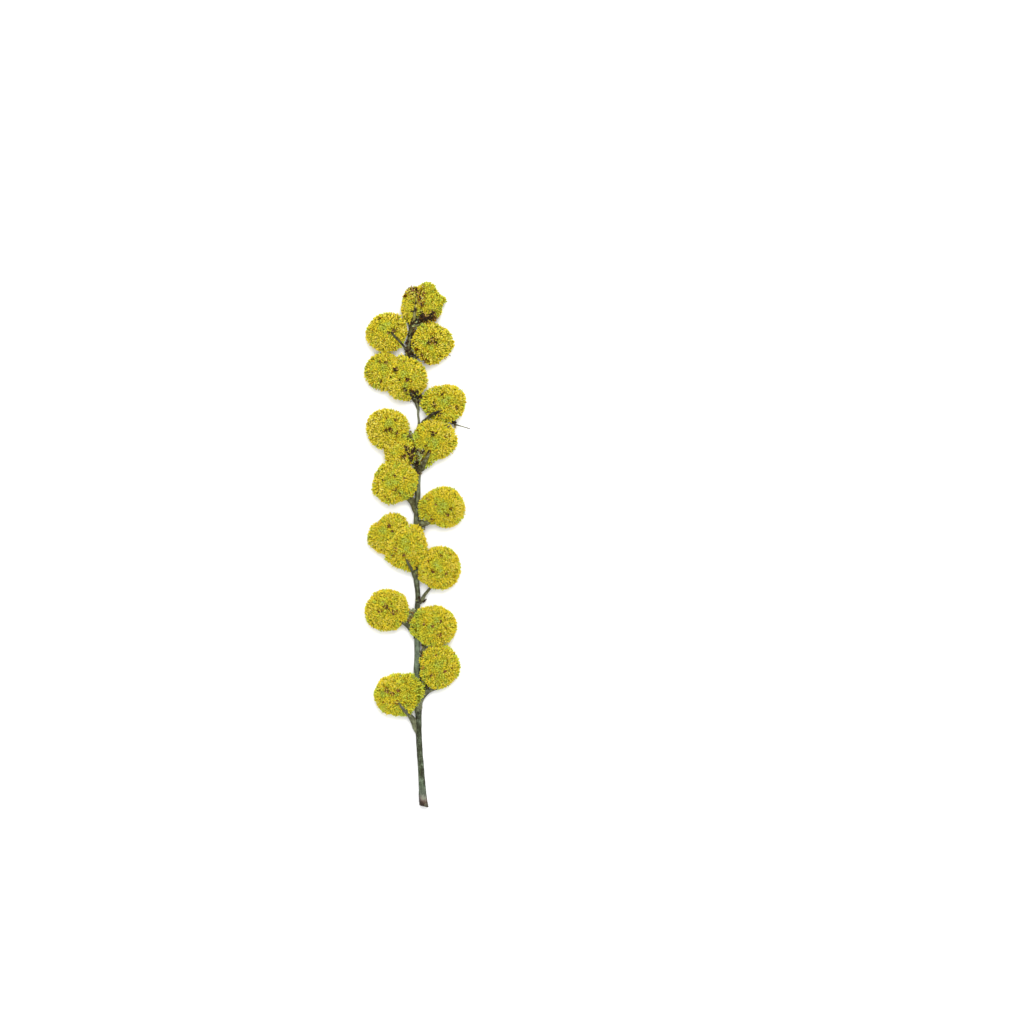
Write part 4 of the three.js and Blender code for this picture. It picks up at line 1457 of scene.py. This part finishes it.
    def build_stamens(
        self,
        number: int,
        planes: Sequence[tuple],
        twigs: np.ndarray,
        bare: np.ndarray,
        finish: bpy.types.Material,
    ) -> None:
        """Makes the stamens of the head as one piece.

        Args:
            number: The head's number.
            planes: The planes that part it from its neighbours.
            twigs: Points along the stem and stalks, with the width there.
            bare: Those of the head's own stalk, where it parts the stamens.
            finish: The stamens' material.
        """
        rng = np.random.default_rng(STAMEN_SEED + number)
        tips, polar = self.stamen_tips(planes, twigs, bare, rng)
        roots = self.stamen_roots(tips, planes, rng)
        ahead = tips - roots
        length = np.linalg.norm(ahead, axis=1, keepdims=True)
        pattern = strokes(tips, FURROW_PITCH, number)
        sunk = np.minimum(self.sunk(polar, pattern, rng), length[:, 0] * 0.6)
        ends = tips - ahead / length * sunk[:, None]
        count = len(tips)
        shape, anther, around, v = stamen_template()
        share = shape.points[:, 2].clip(0, 1)[None, :, None]
        middle = (1 - share) * roots[:, None] + share * ends[:, None]
        frames = frames_along(ends - roots, rng.uniform(0, FULL_TURN, count))
        threads = middle + np.einsum("nij,vj->nvi", frames, shape.points * [1, 1, 0]) * THREAD_RADIUS
        facing = frames_along(rng.normal(size=(count, 3)), rng.uniform(0, FULL_TURN, count))
        size = rng.uniform(0.8, 1.2, (count, 1)) * np.array([ANTHER_SIZE]) * (0.72 + 0.28 * self.parched)
        places = np.where(anther[None, :, None], shape.placed(ends, facing, size), threads)
        places[:, :, 2] = np.maximum(places[:, :, 2], 0.004 + 0.02 * (shape.points[:, 2] > 0)[None])
        gathering = Gathering()
        gathering.add(shape, places, np.zeros(count))
        mesh = gathering.mesh(f"head_{number:02d}_stamens")
        tone = self.tones(ends, pattern, number, rng)
        u = (tone[:, None] + 0.006 * around[None])[:, shape.corners]
        uv = np.stack([u, np.broadcast_to(v[shape.corners], u.shape)], 2)
        mesh.uv_layers.new(name=BAKE_MAP).data.foreach_set("uv", uv.astype(np.float32).ravel())
        settle(as_object(mesh.name, mesh), [finish], "flower", f"flower_head_{number:02d}")

    def floret_places(self, planes: Sequence[tuple]) -> tuple[np.ndarray, np.ndarray]:
        """Where the florets stand on the heart: their mouths, and the directions that they open in."""
        polar, turn = self.spread(self.florets, FLORETS_BELOW)
        away = self.surface(polar, turn, planes) - self.heart
        return self.heart + away * MOUTHS_OUT, away * [1, 1, 1.3]

    def build_heart(
        self, number: int, planes: Sequence[tuple], heart: bpy.types.Material, floret: bpy.types.Material
    ) -> None:
        """Makes the heart of the head with its florets, as one piece.

        Args:
            number: The head's number.
            planes: The planes that part it from its neighbours.
            heart: The heart's material.
            floret: The florets' material.
        """
        rng = np.random.default_rng(HEART_SEED + number)
        gathering = Gathering()
        bm = bmesh.new()
        bmesh.ops.create_icosphere(bm, subdivisions=4, radius=1.0)
        body = Template.of(bm)
        ball = body.points / np.linalg.norm(body.points, axis=1, keepdims=True)
        polar = np.arccos(ball[:, 2].clip(-1, 1)).clip(0.001, math.pi - 0.001)
        away = self.surface(polar, np.arctan2(ball[:, 1], ball[:, 0]), planes) - self.heart
        skin = self.heart + away * HEART_OUT + ball * 0.05 * ripple(away, 0.3, number)[:, None]
        gathering.add(body, skin[None], np.zeros(1), slot=1)
        mouths, ahead = self.floret_places(planes)
        count, funnel = len(mouths), floret_template()
        frames = frames_along(ahead, rng.uniform(0, FULL_TURN, count))
        sizes = rng.uniform(0.42, 0.56, (count, 1)) * np.array([[1.0, 1.0, 1.1]])
        placed = funnel.placed(mouths - frames[:, :, 2] * 0.2, frames, sizes)
        gathering.add(funnel, placed, rng.uniform(0.05, 0.36, count))
        for mark in self.marks:
            self._add_mark(gathering, mark, rng)
        mesh = gathering.mesh(f"head_{number:02d}_florets")
        settle(as_object(mesh.name, mesh), [floret, heart], "flower", f"flower_head_{number:02d}")

    def _add_mark(self, gathering: Gathering, mark: Mark, rng: np.random.Generator) -> None:
        """Adds the florets that show in an open place.

        Args:
            gathering: What they are added to.
            mark: The open place.
            rng: Where their small differences come from.
        """
        if mark.kind is BUD:
            count = max(3, round(5 * mark.size))
            off = mark.size * rng.uniform(0.05, 0.34, count)
            size = rng.uniform(0.2, 0.3, (count, 1)) * [[1.0, 1.0, 1.3]]
            dryness, deep = rng.uniform(0.0, 0.3, count), 0.3
        elif mark.kind is SPRAY:
            count = round(7 * mark.size)
            ray = mark.size * rng.uniform(0.22, 0.5, count)
            off = 0.04 * mark.size + ray * rng.uniform(0.5, 0.8, count)
            size = np.column_stack([ray, *rng.uniform(0.11, 0.19, (2, count))])
            dryness, deep = rng.choice([0.3, 0.52, 0.65, 0.85, 1.0], count), 0.0
        else:
            count = max(3, round(8 * mark.size))
            ray = mark.size * rng.uniform(0.25, 0.6, count)
            off = 0.05 * mark.size + ray * rng.uniform(0.4, 0.6, count)
            width = rng.uniform(0.12, 0.24, count)
            size = np.column_stack([ray, width, width])
            brown = rng.uniform(0.55 + 0.2 * self.parched, 0.75 + 0.25 * self.parched, count)
            dryness, deep = np.where(rng.random(count) < 0.22, 0.45, brown), 0.1
        angle = (np.arange(count) + rng.uniform(-0.3, 0.3, count)) / count * 2 * math.pi + rng.uniform(0, 2)
        ahead = np.column_stack([np.cos(angle), np.sin(angle)])
        plan = [mark.x, mark.y] + ahead * off[:, None]
        pull = np.minimum(0.93 / np.maximum(self.share_out(*plan.T), 1e-6), 1)[:, None]
        plan = self.centre + (plan - self.centre) * pull
        middles = np.column_stack([plan, self.top_height(*plan.T) - deep - rng.uniform(0, 0.1, count)])
        if mark.kind is BUD:
            shape = bud_template()
            frames = frames_along(np.column_stack([(plan - self.centre) * 0.15, np.ones(count)]), angle)
        else:
            shape = leaf_template(0.6, 1.0, 0.3)
            heading = np.column_stack([ahead, rng.uniform(-0.1, 0.35, count)])
            frames = frames_along(heading, np.zeros(count))[:, :, [2, 0, 1]]
        gathering.add(shape, shape.placed(middles, frames, size), dryness)


HEADS: tuple[FlowerHead, ...] = (
    FlowerHead(
        centre=(-3.95, 18.65), half=(3.3, 3.5),
        stalk=((-0.15, 11.9), (-1.3, 14.7), (-2.7, 16.6), (-3.6, 18.0)), climb=0.95, bare=0.8,
        stalk_width=0.58, stalk_age=0.2, web=1.1, parched=0.4, layer=1, richness=-0.03,
        lobes=tufts(
            (13, 1.8, 40, 0.14), (50, 0.42, 8), (308, 0.6, 18, 0.05), (262, -0.22, 14), (107, -0.25, 12),
            (155, -0.18, 16), (270, 0, 20, 0.07), (200, 0, 25, -0.04),
        ),
        marks=table(Mark,
            CALYX, (-5.2, 19.4, 1.2), (-4.2, 18.9, 1.0), (-3.3, 19.4, 0.7), SPECK, (-5.7, 17.4, 0.5), BUD,
            (-5.8, 18.8, 1.2), SPECK, (-3.5, 17.3, 0.7),
        ),
    ),
    FlowerHead(
        centre=(3.55, 23.25), half=(3.42, 3.7),
        stalk=((-0.1, 15.5), (0.4, 17.65), (1.4, 18.8), (3.3, 19.75)), climb=0.6, stalk_width=1.2, web=1.5,
        parched=0.4, richness=-0.04,
        lobes=tufts(
            (40, -0.15, 16), (65, 0.12, 14), (300, -0.25, 28), (158, 0.15, 10), (178, -0.35, 15),
            (195, 0, 25, 0.06), (340, 0, 20, 0.04),
        ),
        marks=table(Mark,
            BUD, (3.3, 23.8, 1.5), CALYX, (4.5, 22.6, 0.8), (2.3, 21.9, 0.8), SPECK, (5.7, 23.1, 0.5),
            (0.8, 24.9, 0.8), (0.8, 23.1, 0.8), (3.0, 25.3, 0.5),
        ),
    ),
    FlowerHead(
        centre=(3.1, 30.17), half=(3.3, 3.4),
        stalk=((0.15, 24.75), (1.0, 26.4), (1.65, 27.75), (2.55, 29.3)), climb=0.9, bare=0.25, parched=0.4,
        layer=1,
        lobes=tufts(
            (192, 1.35, 42, 0.14), (137, 0.45, 16), (216, -0.6, 14), (75, -0.22, 38), (225, 0, 14, 0.08),
        ),
        marks=table(Mark,
            BUD, (3.2, 31.1, 1.3), CALYX, (3.8, 30.8, 0.8), (2.5, 30.1, 0.7), (3.7, 28.6, 0.8), SPECK,
            (1.0, 30.4, 0.7), BUD, (2.0, 29.9, 1.0), SPECK, (4.7, 29.8, 0.5),
        ),
    ),
    FlowerHead(
        centre=(-5.18, 32.66), half=(3.65, 3.46),
        stalk=((-0.6, 28.3), (-1.5, 29.7), (-2.65, 30.7), (-4.1, 31.9)), climb=0.7, bare=0.6, stalk_age=0.5,
        web=0.9, parched=0.4, richness=0.02,
        lobes=tufts(
            (45, 0.22, 16), (110, 0.12, 16), (156, -0.1, 14), (222, 0.15, 16), (315, -0.2, 16),
            (330, 0, 22, 0.06),
        ),
        marks=table(Mark,
            BUD, (-5.8, 34.1, 1.3), CALYX, (-5.3, 33.3, 1.3), (-4.2, 32.4, 1.0), (-6.3, 32.6, 0.7), SPECK,
            (-3.5, 32.6, 0.5),
        ),
    ),
    FlowerHead(
        centre=(3.6, 39.7), half=(3.5, 3.6), stalk=((0.35, 33.75), (1.0, 35.1), (2.15, 36.6), (3.0, 38.2)),
        climb=0.6, bare=0.35, parched=0.4, richness=0.02,
        lobes=tufts((268, -0.28, 14), (210, 0.4, 11), (270, 0, 18, 0.05), (90, 0.12, 35)),
        marks=table(Mark,
            BUD, (3.0, 40.4, 1.5), CALYX, (2.5, 39.1, 0.7), (4.7, 38.8, 0.8), BUD, (3.8, 39.4, 0.8), SPECK,
            (1.7, 40.8, 0.5), (3.8, 41.8, 0.5),
        ),
    ),
    FlowerHead(
        centre=(-4.87, 45.25), half=(3.4, 3.3), thickness=2.0,
        stalk=((-0.35, 40.75), (-1.85, 42.4), (-3.5, 44.1), (-4.4, 45.1)), climb=0.45, bare=0.25, web=0.5,
        parched=0.4, layer=-1,
        lobes=tufts((52, 0.6, 34), (127, -0.5, 18), (163, -0.12, 12), (200, 0.28, 16)),
        marks=table(Mark,
            BUD, (-5.8, 46.1, 1.3), CALYX, (-4.8, 46.8, 0.8), SPECK, (-4.2, 45.8, 0.5), (-6.5, 47.3, 0.5),
        ),
    ),
    FlowerHead(
        centre=(-2.1, 43.23), half=(3.65, 3.75),
        stalk=((-0.35, 37.6), (-1.1, 39.6), (-1.85, 41.1), (-2.15, 42.3)), climb=0.95, bare=0.7, web=0.5,
        parched=0.4, layer=1, richness=-0.01,
        lobes=tufts((54, 0.5, 17), (285, 0.5, 13), (208, 0.2, 10), (275, 0, 20, 0.06)),
        marks=table(Mark,
            BUD, (-2.3, 44.3, 1.5), (-2.0, 42.9, 1.0), CALYX, (-3.7, 42.9, 0.8), SPECK, (-2.3, 41.9, 0.7),
            (-1.5, 40.8, 0.7), (-4.3, 41.8, 0.5),
        ),
    ),
    FlowerHead(
        centre=(4.5, 49.88), half=(3.4, 3.4), stalk=((-0.3, 46.6), (0.45, 47.1), (1.3, 47.2), (3.2, 48.3)),
        climb=0.75, bare=0.45, stalk_width=1.3, stalk_age=0.0, parched=0.4, richness=0.01,
        lobes=tufts(
            (182, 0.95, 42, 0.06), (35, -0.32, 22), (212, 0.6, 15, 0.06), (246, -0.22, 14),
            (225, 0, 18, 0.05),
        ),
        marks=table(Mark,
            BUD, (4.2, 50.3, 1.5), (3.7, 49.3, 1.0), CALYX, (5.0, 48.6, 0.8), (5.5, 49.6, 0.7),
            (1.7, 51.3, 0.7), SPECK, (3.0, 50.3, 0.5), (2.3, 47.9, 0.8),
        ),
    ),
    FlowerHead(
        centre=(-3.85, 54.0), half=(3.75, 3.8),
        stalk=((-0.4, 48.6), (-1.1, 50.4), (-2.0, 51.5), (-3.1, 53.0)), climb=0.65, bare=0.5,
        stalk_width=0.62, stalk_age=0.0, web=1.6, parched=0.7, layer=1,
        lobes=tufts(
            (142, -0.1, 12), (163, -0.3, 18), (203, 0.32, 12), (291, -0.6, 22), (15, 0.2, 12),
            (325, 0, 28, 0.08),
        ),
        marks=table(Mark,
            BUD, (-4.8, 53.9, 1.5), (-3.8, 54.1, 0.8), CALYX, (-3.7, 52.8, 0.8), (-3.0, 52.1, 0.7), SPECK,
            (-3.8, 55.1, 0.5), (-2.2, 54.8, 0.5), (-5.8, 54.3, 0.5), BUD, (-2.7, 52.3, 1.0),
        ),
    ),
    FlowerHead(
        centre=(-3.0, 59.1), half=(2.8, 2.7), thickness=2.0,
        stalk=((-0.15, 55.75), (-0.9, 57.4), (-1.4, 58.3), (-2.1, 59.1)), climb=0.95, bare=0.2,
        stalk_age=0.9, layer=-1,
        lobes=tufts((65, 0, 30, 0.08), (188, -0.15, 16)),
        marks=table(Mark,
            CALYX, (-1.8, 59.6, 1.2), (-2.3, 58.3, 1.0), (-1.2, 58.6, 1.0), SPECK, (-0.8, 59.4, 0.7),
        ),
    ),
    FlowerHead(
        centre=(-5.07, 62.9), half=(3.55, 3.55),
        stalk=((-0.15, 58.4), (-1.0, 60.1), (-2.5, 61.4), (-3.9, 62.2)), climb=0.85, stalk_age=0.6,
        parched=0.85, richness=0.03,
        lobes=tufts((80, -0.22, 25), (232, -0.12, 12), (315, 0, 16, 0.05), (135, 0, 18, -0.04)),
        marks=table(Mark,
            BUD, (-4.7, 63.9, 1.5), CALYX, (-5.3, 62.6, 0.8), (-4.5, 62.8, 1.0), (-3.5, 62.2, 0.8), SPECK,
            (-5.2, 64.6, 0.5), (-3.7, 64.4, 0.5), BUD, (-2.3, 61.8, 1.0),
        ),
    ),
    FlowerHead(
        centre=(2.82, 61.03), half=(3.7, 3.5),
        stalk=((0.15, 55.6), (1.0, 57.25), (1.85, 58.75), (2.35, 60.1)), climb=0.9, bare=0.68,
        stalk_width=1.0, stalk_age=0.0, web=0.45, parched=0.85, layer=1,
        lobes=tufts(
            (245, 1.6, 18, 0.12), (200, 0, 30, 0.1), (285, -0.3, 20), (325, -0.16, 22), (18, -0.2, 10),
            (170, 0, 20, 0.06), (45, 0, 16, -0.04),
        ),
        marks=table(Mark,
            CALYX, (2.5, 62.1, 1.2), BUD, (2.7, 60.8, 1.5), SPECK, (1.3, 60.1, 0.5), CALYX,
            (0.8, 59.1, 1.0), (1.8, 58.9, 1.0), SPECK, (4.7, 61.6, 0.5),
        ),
    ),
    FlowerHead(
        centre=(4.5, 67.23), half=(3.55, 3.2), stalk=((0.3, 63.6), (1.3, 64.45), (2.6, 65.5), (4.2, 66.0)),
        climb=0.95, bare=0.8, stalk_width=0.62, stalk_age=0.7,
        lobes=tufts(
            (180, 0.6, 36, 0.12), (210, -0.2, 14), (225, 0.0, 25, 0.1), (110, -0.25, 20), (352, -0.28, 15),
            (160, 0, 25, -0.05), (290, 0, 20, 0.04),
        ),
        marks=table(Mark,
            BUD, (4.5, 67.6, 1.5), CALYX, (4.0, 68.6, 0.8), (2.7, 66.9, 1.0), (6.5, 66.4, 0.7), SPECK,
            (5.2, 66.8, 0.5), BUD, (5.3, 68.1, 0.8),
        ),
    ),
    FlowerHead(
        centre=(-5.65, 72.47), half=(3.25, 3.2), thickness=2.0,
        stalk=((-0.85, 68.75), (-2.35, 70.1), (-4.0, 71.4), (-4.9, 72.1)), climb=0.4, bare=0.2, layer=-1,
        richness=-0.02,
        lobes=tufts((155, 0, 28, 0.06)),
        marks=table(Mark,
            BUD, (-5.7, 73.1, 1.3), CALYX, (-5.3, 73.9, 0.8), SPECK, (-6.3, 74.1, 0.5), (-6.2, 70.8, 0.5),
        ),
    ),
    FlowerHead(
        centre=(-2.1, 71.27), half=(3.6, 3.65),
        stalk=((-0.35, 67.1), (-1.0, 68.4), (-1.5, 69.75), (-1.7, 70.8)), climb=0.95, bare=0.45,
        stalk_width=0.5, stalk_age=0.7, web=0.5, layer=1, richness=-0.01,
        lobes=tufts((302, -0.45, 13), (104, 0.7, 13), (222, 0.15, 12), (345, 0.18, 14), (268, -0.1, 18)),
        marks=table(Mark,
            CALYX, (-3.7, 72.8, 1.0), (-1.7, 71.1, 1.0), BUD, (-2.3, 72.1, 1.3), (-2.0, 70.1, 1.2), CALYX,
            (-2.2, 69.6, 0.7), SPECK, (-3.0, 71.1, 0.5), (-1.0, 69.2, 0.8), (-4.7, 71.4, 0.5),
        ),
    ),
    FlowerHead(
        centre=(-5.27, 78.93), half=(3.27, 3.25),
        stalk=((-1.5, 75.4), (-2.5, 76.9), (-3.65, 78.1), (-4.4, 79.0)), climb=0.85, bare=0.95,
        stalk_width=0.42, stalk_age=0.6,
        lobes=tufts((40, 0.45, 40), (145, -0.1, 16, 0.06), (202, 0.18, 14)),
        marks=table(Mark,
            BUD, (-5.8, 79.9, 1.5), CALYX, (-4.0, 79.2, 1.0), (-4.8, 78.9, 0.7), SPECK, (-6.3, 81.4, 0.5),
            BUD, (-4.7, 80.4, 0.8),
        ),
    ),
    FlowerHead(
        centre=(2.4, 77.33), half=(3.42, 3.5),
        stalk=((-1.35, 74.1), (-0.35, 74.9), (1.0, 75.75), (2.1, 76.8)), climb=0.75, bare=0.35,
        stalk_age=0.6, web=0.5,
        lobes=tufts((58, -0.42, 26), (300, -0.2, 26), (150, -0.2, 16), (354, 0.25, 12), (268, 0.2, 16)),
        marks=table(Mark,
            CALYX, (2.5, 77.9, 1.3), (1.8, 77.2, 1.0), (3.0, 77.2, 1.0), BUD, (2.2, 76.4, 1.0), SPECK,
            (0.7, 75.1, 0.7), (1.3, 74.2, 0.8), (3.8, 78.9, 0.5), (-0.2, 75.9, 0.8),
        ),
    ),
    FlowerHead(
        centre=(-1.0, 83.9), half=(1.6, 2.65), thickness=1.7,
        stalk=((-1.0, 79.4), (-1.5, 80.7), (-1.7, 82.2), (-1.6, 83.2)), climb=0.7, bare=0.1, layer=-1,
        florets=26,
        lobes=tufts((250, 0.9, 22), (60, 0.7, 22), (160, 0, 25, 0.07), (214, 0.42, 14)),
        marks=table(Mark,
            SPRAY, (-0.4, 85.7, 3.2), CALYX, (-1.0, 86.2, 0.9), (-0.1, 85.7, 0.8), SPRAY, (-1.3, 86.0, 1.6),
            SPECK, (-2.2, 85.2, 0.6), (0.2, 85.4, 1.2),
        ),
    ),
    FlowerHead(
        centre=(1.75, 84.0), half=(2.05, 3.45),
        stalk=((-0.65, 80.4), (0.5, 81.4), (1.3, 82.6), (1.8, 83.6)), climb=0.9, bare=0.25, stalk_age=1.0,
        layer=1, richness=-0.04, florets=32,
        lobes=tufts(
            (8, 0.85, 18, 0.1), (80, 0.0, 40, 0.1), (101, -0.12, 12), (128, 0.4, 20), (52, -0.22, 16),
            (318, 0.32, 28),
        ),
        marks=table(Mark,
            CALYX, (1.3, 81.6, 1.5), (0.6, 81.4, 1.5), (0.75, 83.4, 0.7), SPRAY, (2.4, 82.2, 1.6),
            (0.6, 82.2, 1.2), CALYX, (2.8, 81.1, 1.2), SPRAY, (0.5, 85.4, 2.2), (0.5, 84.2, 1.6), CALYX,
            (1.7, 81.2, 1.5), BUD, (0.5, 82.4, 1.0),
        ),
    ),
)

BRACTS: tuple[Bract, ...] = (
    Bract((0.75, 19.25), 52),
    Bract((0.42, 23.2), 40),
    Bract((0.45, 25.2), 10),
    Bract((0.7, 34.0), 38),
    Bract((0.45, 46.3), -12, length=0.75, dryness=0.6),
    Bract((0.1, 39.1), 70),
    Bract((0.15, 68.0), 10),
    Bract((0.6, 81.35), -6, length=2.3, width=0.9, height=1.2),
)

THREADS: tuple[DryThread, ...] = (
    DryThread(((5.9, 64.0, 1.0), (6.4, 63.65, 0.9), (7.4, 63.35, 0.6), (8.65, 63.0, 0.16)), 0.2),
    DryThread(((4.3, 75.8, 1.2), (4.9, 75.42, 1.1), (5.5, 75.05, 0.95)), 0.15),
)


@dataclass(frozen=True)
class Sprig:
    """The whole sprig."""

    stem: MainStem = MainStem()
    heads: tuple[FlowerHead, ...] = HEADS
    bracts: tuple[Bract, ...] = BRACTS
    threads: tuple[DryThread, ...] = THREADS

    def build(self, finishes: Finishes) -> None:
        """Builds and dresses every piece."""
        self.stem.build(finishes.stem)
        lines = [self.stem.middle_line(TWIG_STEPS)]
        for number, head in enumerate(self.heads, 1):
            stalk = FlowerStalk(head)
            stalk.build(number, self.stem, finishes.stalk)
            lines.append(stalk.bare_line(self.stem))
        for number, bract in enumerate(self.bracts, 1):
            bract.build(number, finishes.scale)
        JointScales().build(self.stem, self.heads, finishes.scale)
        WitheredBud().build(finishes.scale)
        for number, thread in enumerate(self.threads, 1):
            thread.build(number, finishes.stalk)
        twigs = np.concatenate(lines)
        for number, head in enumerate(self.heads, 1):
            planes = head.parting(self.heads)
            head.build_heart(number, planes, finishes.heart, finishes.floret)
            head.build_stamens(number, planes, twigs, lines[number], finishes.stamen)


# ----------------------------------------------------------------------------------------------------------
# Studio


@dataclass(frozen=True)
class Studio:
    """A pale floor, soft light from the sprig's tip, and a camera that looks straight down. In metres."""

    view_centre: tuple[float, float] = (0.015723, 0.005428)
    frame_width: float = 0.17067
    lens: float = 100.0
    sensor: float = 36.0
    sky: float = 1.2
    key: float = 3.0
    key_place: tuple[float, float, float] = (0.1, 0.4, 0.55)
    floor_half: float = 1.5
    floor_drop: float = 0.00001

    def build(self, finish: bpy.types.Material) -> None:
        """Builds the floor, the lights and the camera."""
        scene = bpy.context.scene
        scene.view_settings.view_transform = "Standard"
        self._floor(finish)
        self._lights(scene)
        self._camera(scene)

    def _floor(self, finish: bpy.types.Material) -> None:
        """Lays the floor."""
        bm = bmesh.new()
        bmesh.ops.create_grid(bm, x_segments=2, y_segments=2, size=self.floor_half)
        bmesh.ops.translate(bm, vec=(0, 0, -self.floor_drop), verts=bm.verts)
        floor = as_object("floor", bm, smooth=False)
        floor.data.materials.append(finish)

    def _lights(self, scene: bpy.types.Scene) -> None:
        """Lights the scene with a white sky and one large soft lamp."""
        world = bpy.data.worlds.new("studio")
        world.use_nodes = True
        background = world.node_tree.nodes["Background"]
        background.inputs[0].default_value = (1.0, 1.0, 1.0, 1.0)
        background.inputs[1].default_value = self.sky
        scene.world = world
        lamp = bpy.data.lights.new("key", "AREA")
        lamp.shape = "DISK"
        lamp.size = 0.5
        lamp.energy = self.key
        key = bpy.data.objects.new("key", lamp)
        key.location = self.key_place
        key.rotation_euler = (-key.location).to_track_quat("-Z", "Y").to_euler()
        scene.collection.objects.link(key)

    def _camera(self, scene: bpy.types.Scene) -> None:
        """Places the camera."""
        data = bpy.data.cameras.new("camera")
        data.lens = self.lens
        data.sensor_width = self.sensor
        data.sensor_fit = "HORIZONTAL"
        data.clip_start = 0.01
        camera = bpy.data.objects.new("camera", data)
        camera.location = (*self.view_centre, self.frame_width * self.lens / self.sensor + 0.001)
        scene.collection.objects.link(camera)
        scene.camera = camera


def main() -> None:
    """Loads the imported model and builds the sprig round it."""
    logging.basicConfig(level=logging.INFO, format="%(name)s %(message)s")
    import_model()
    finishes = Finishes.made()
    Sprig().build(finishes)
    Studio().build(finishes.floor)


if __name__ == "__main__":
    main()
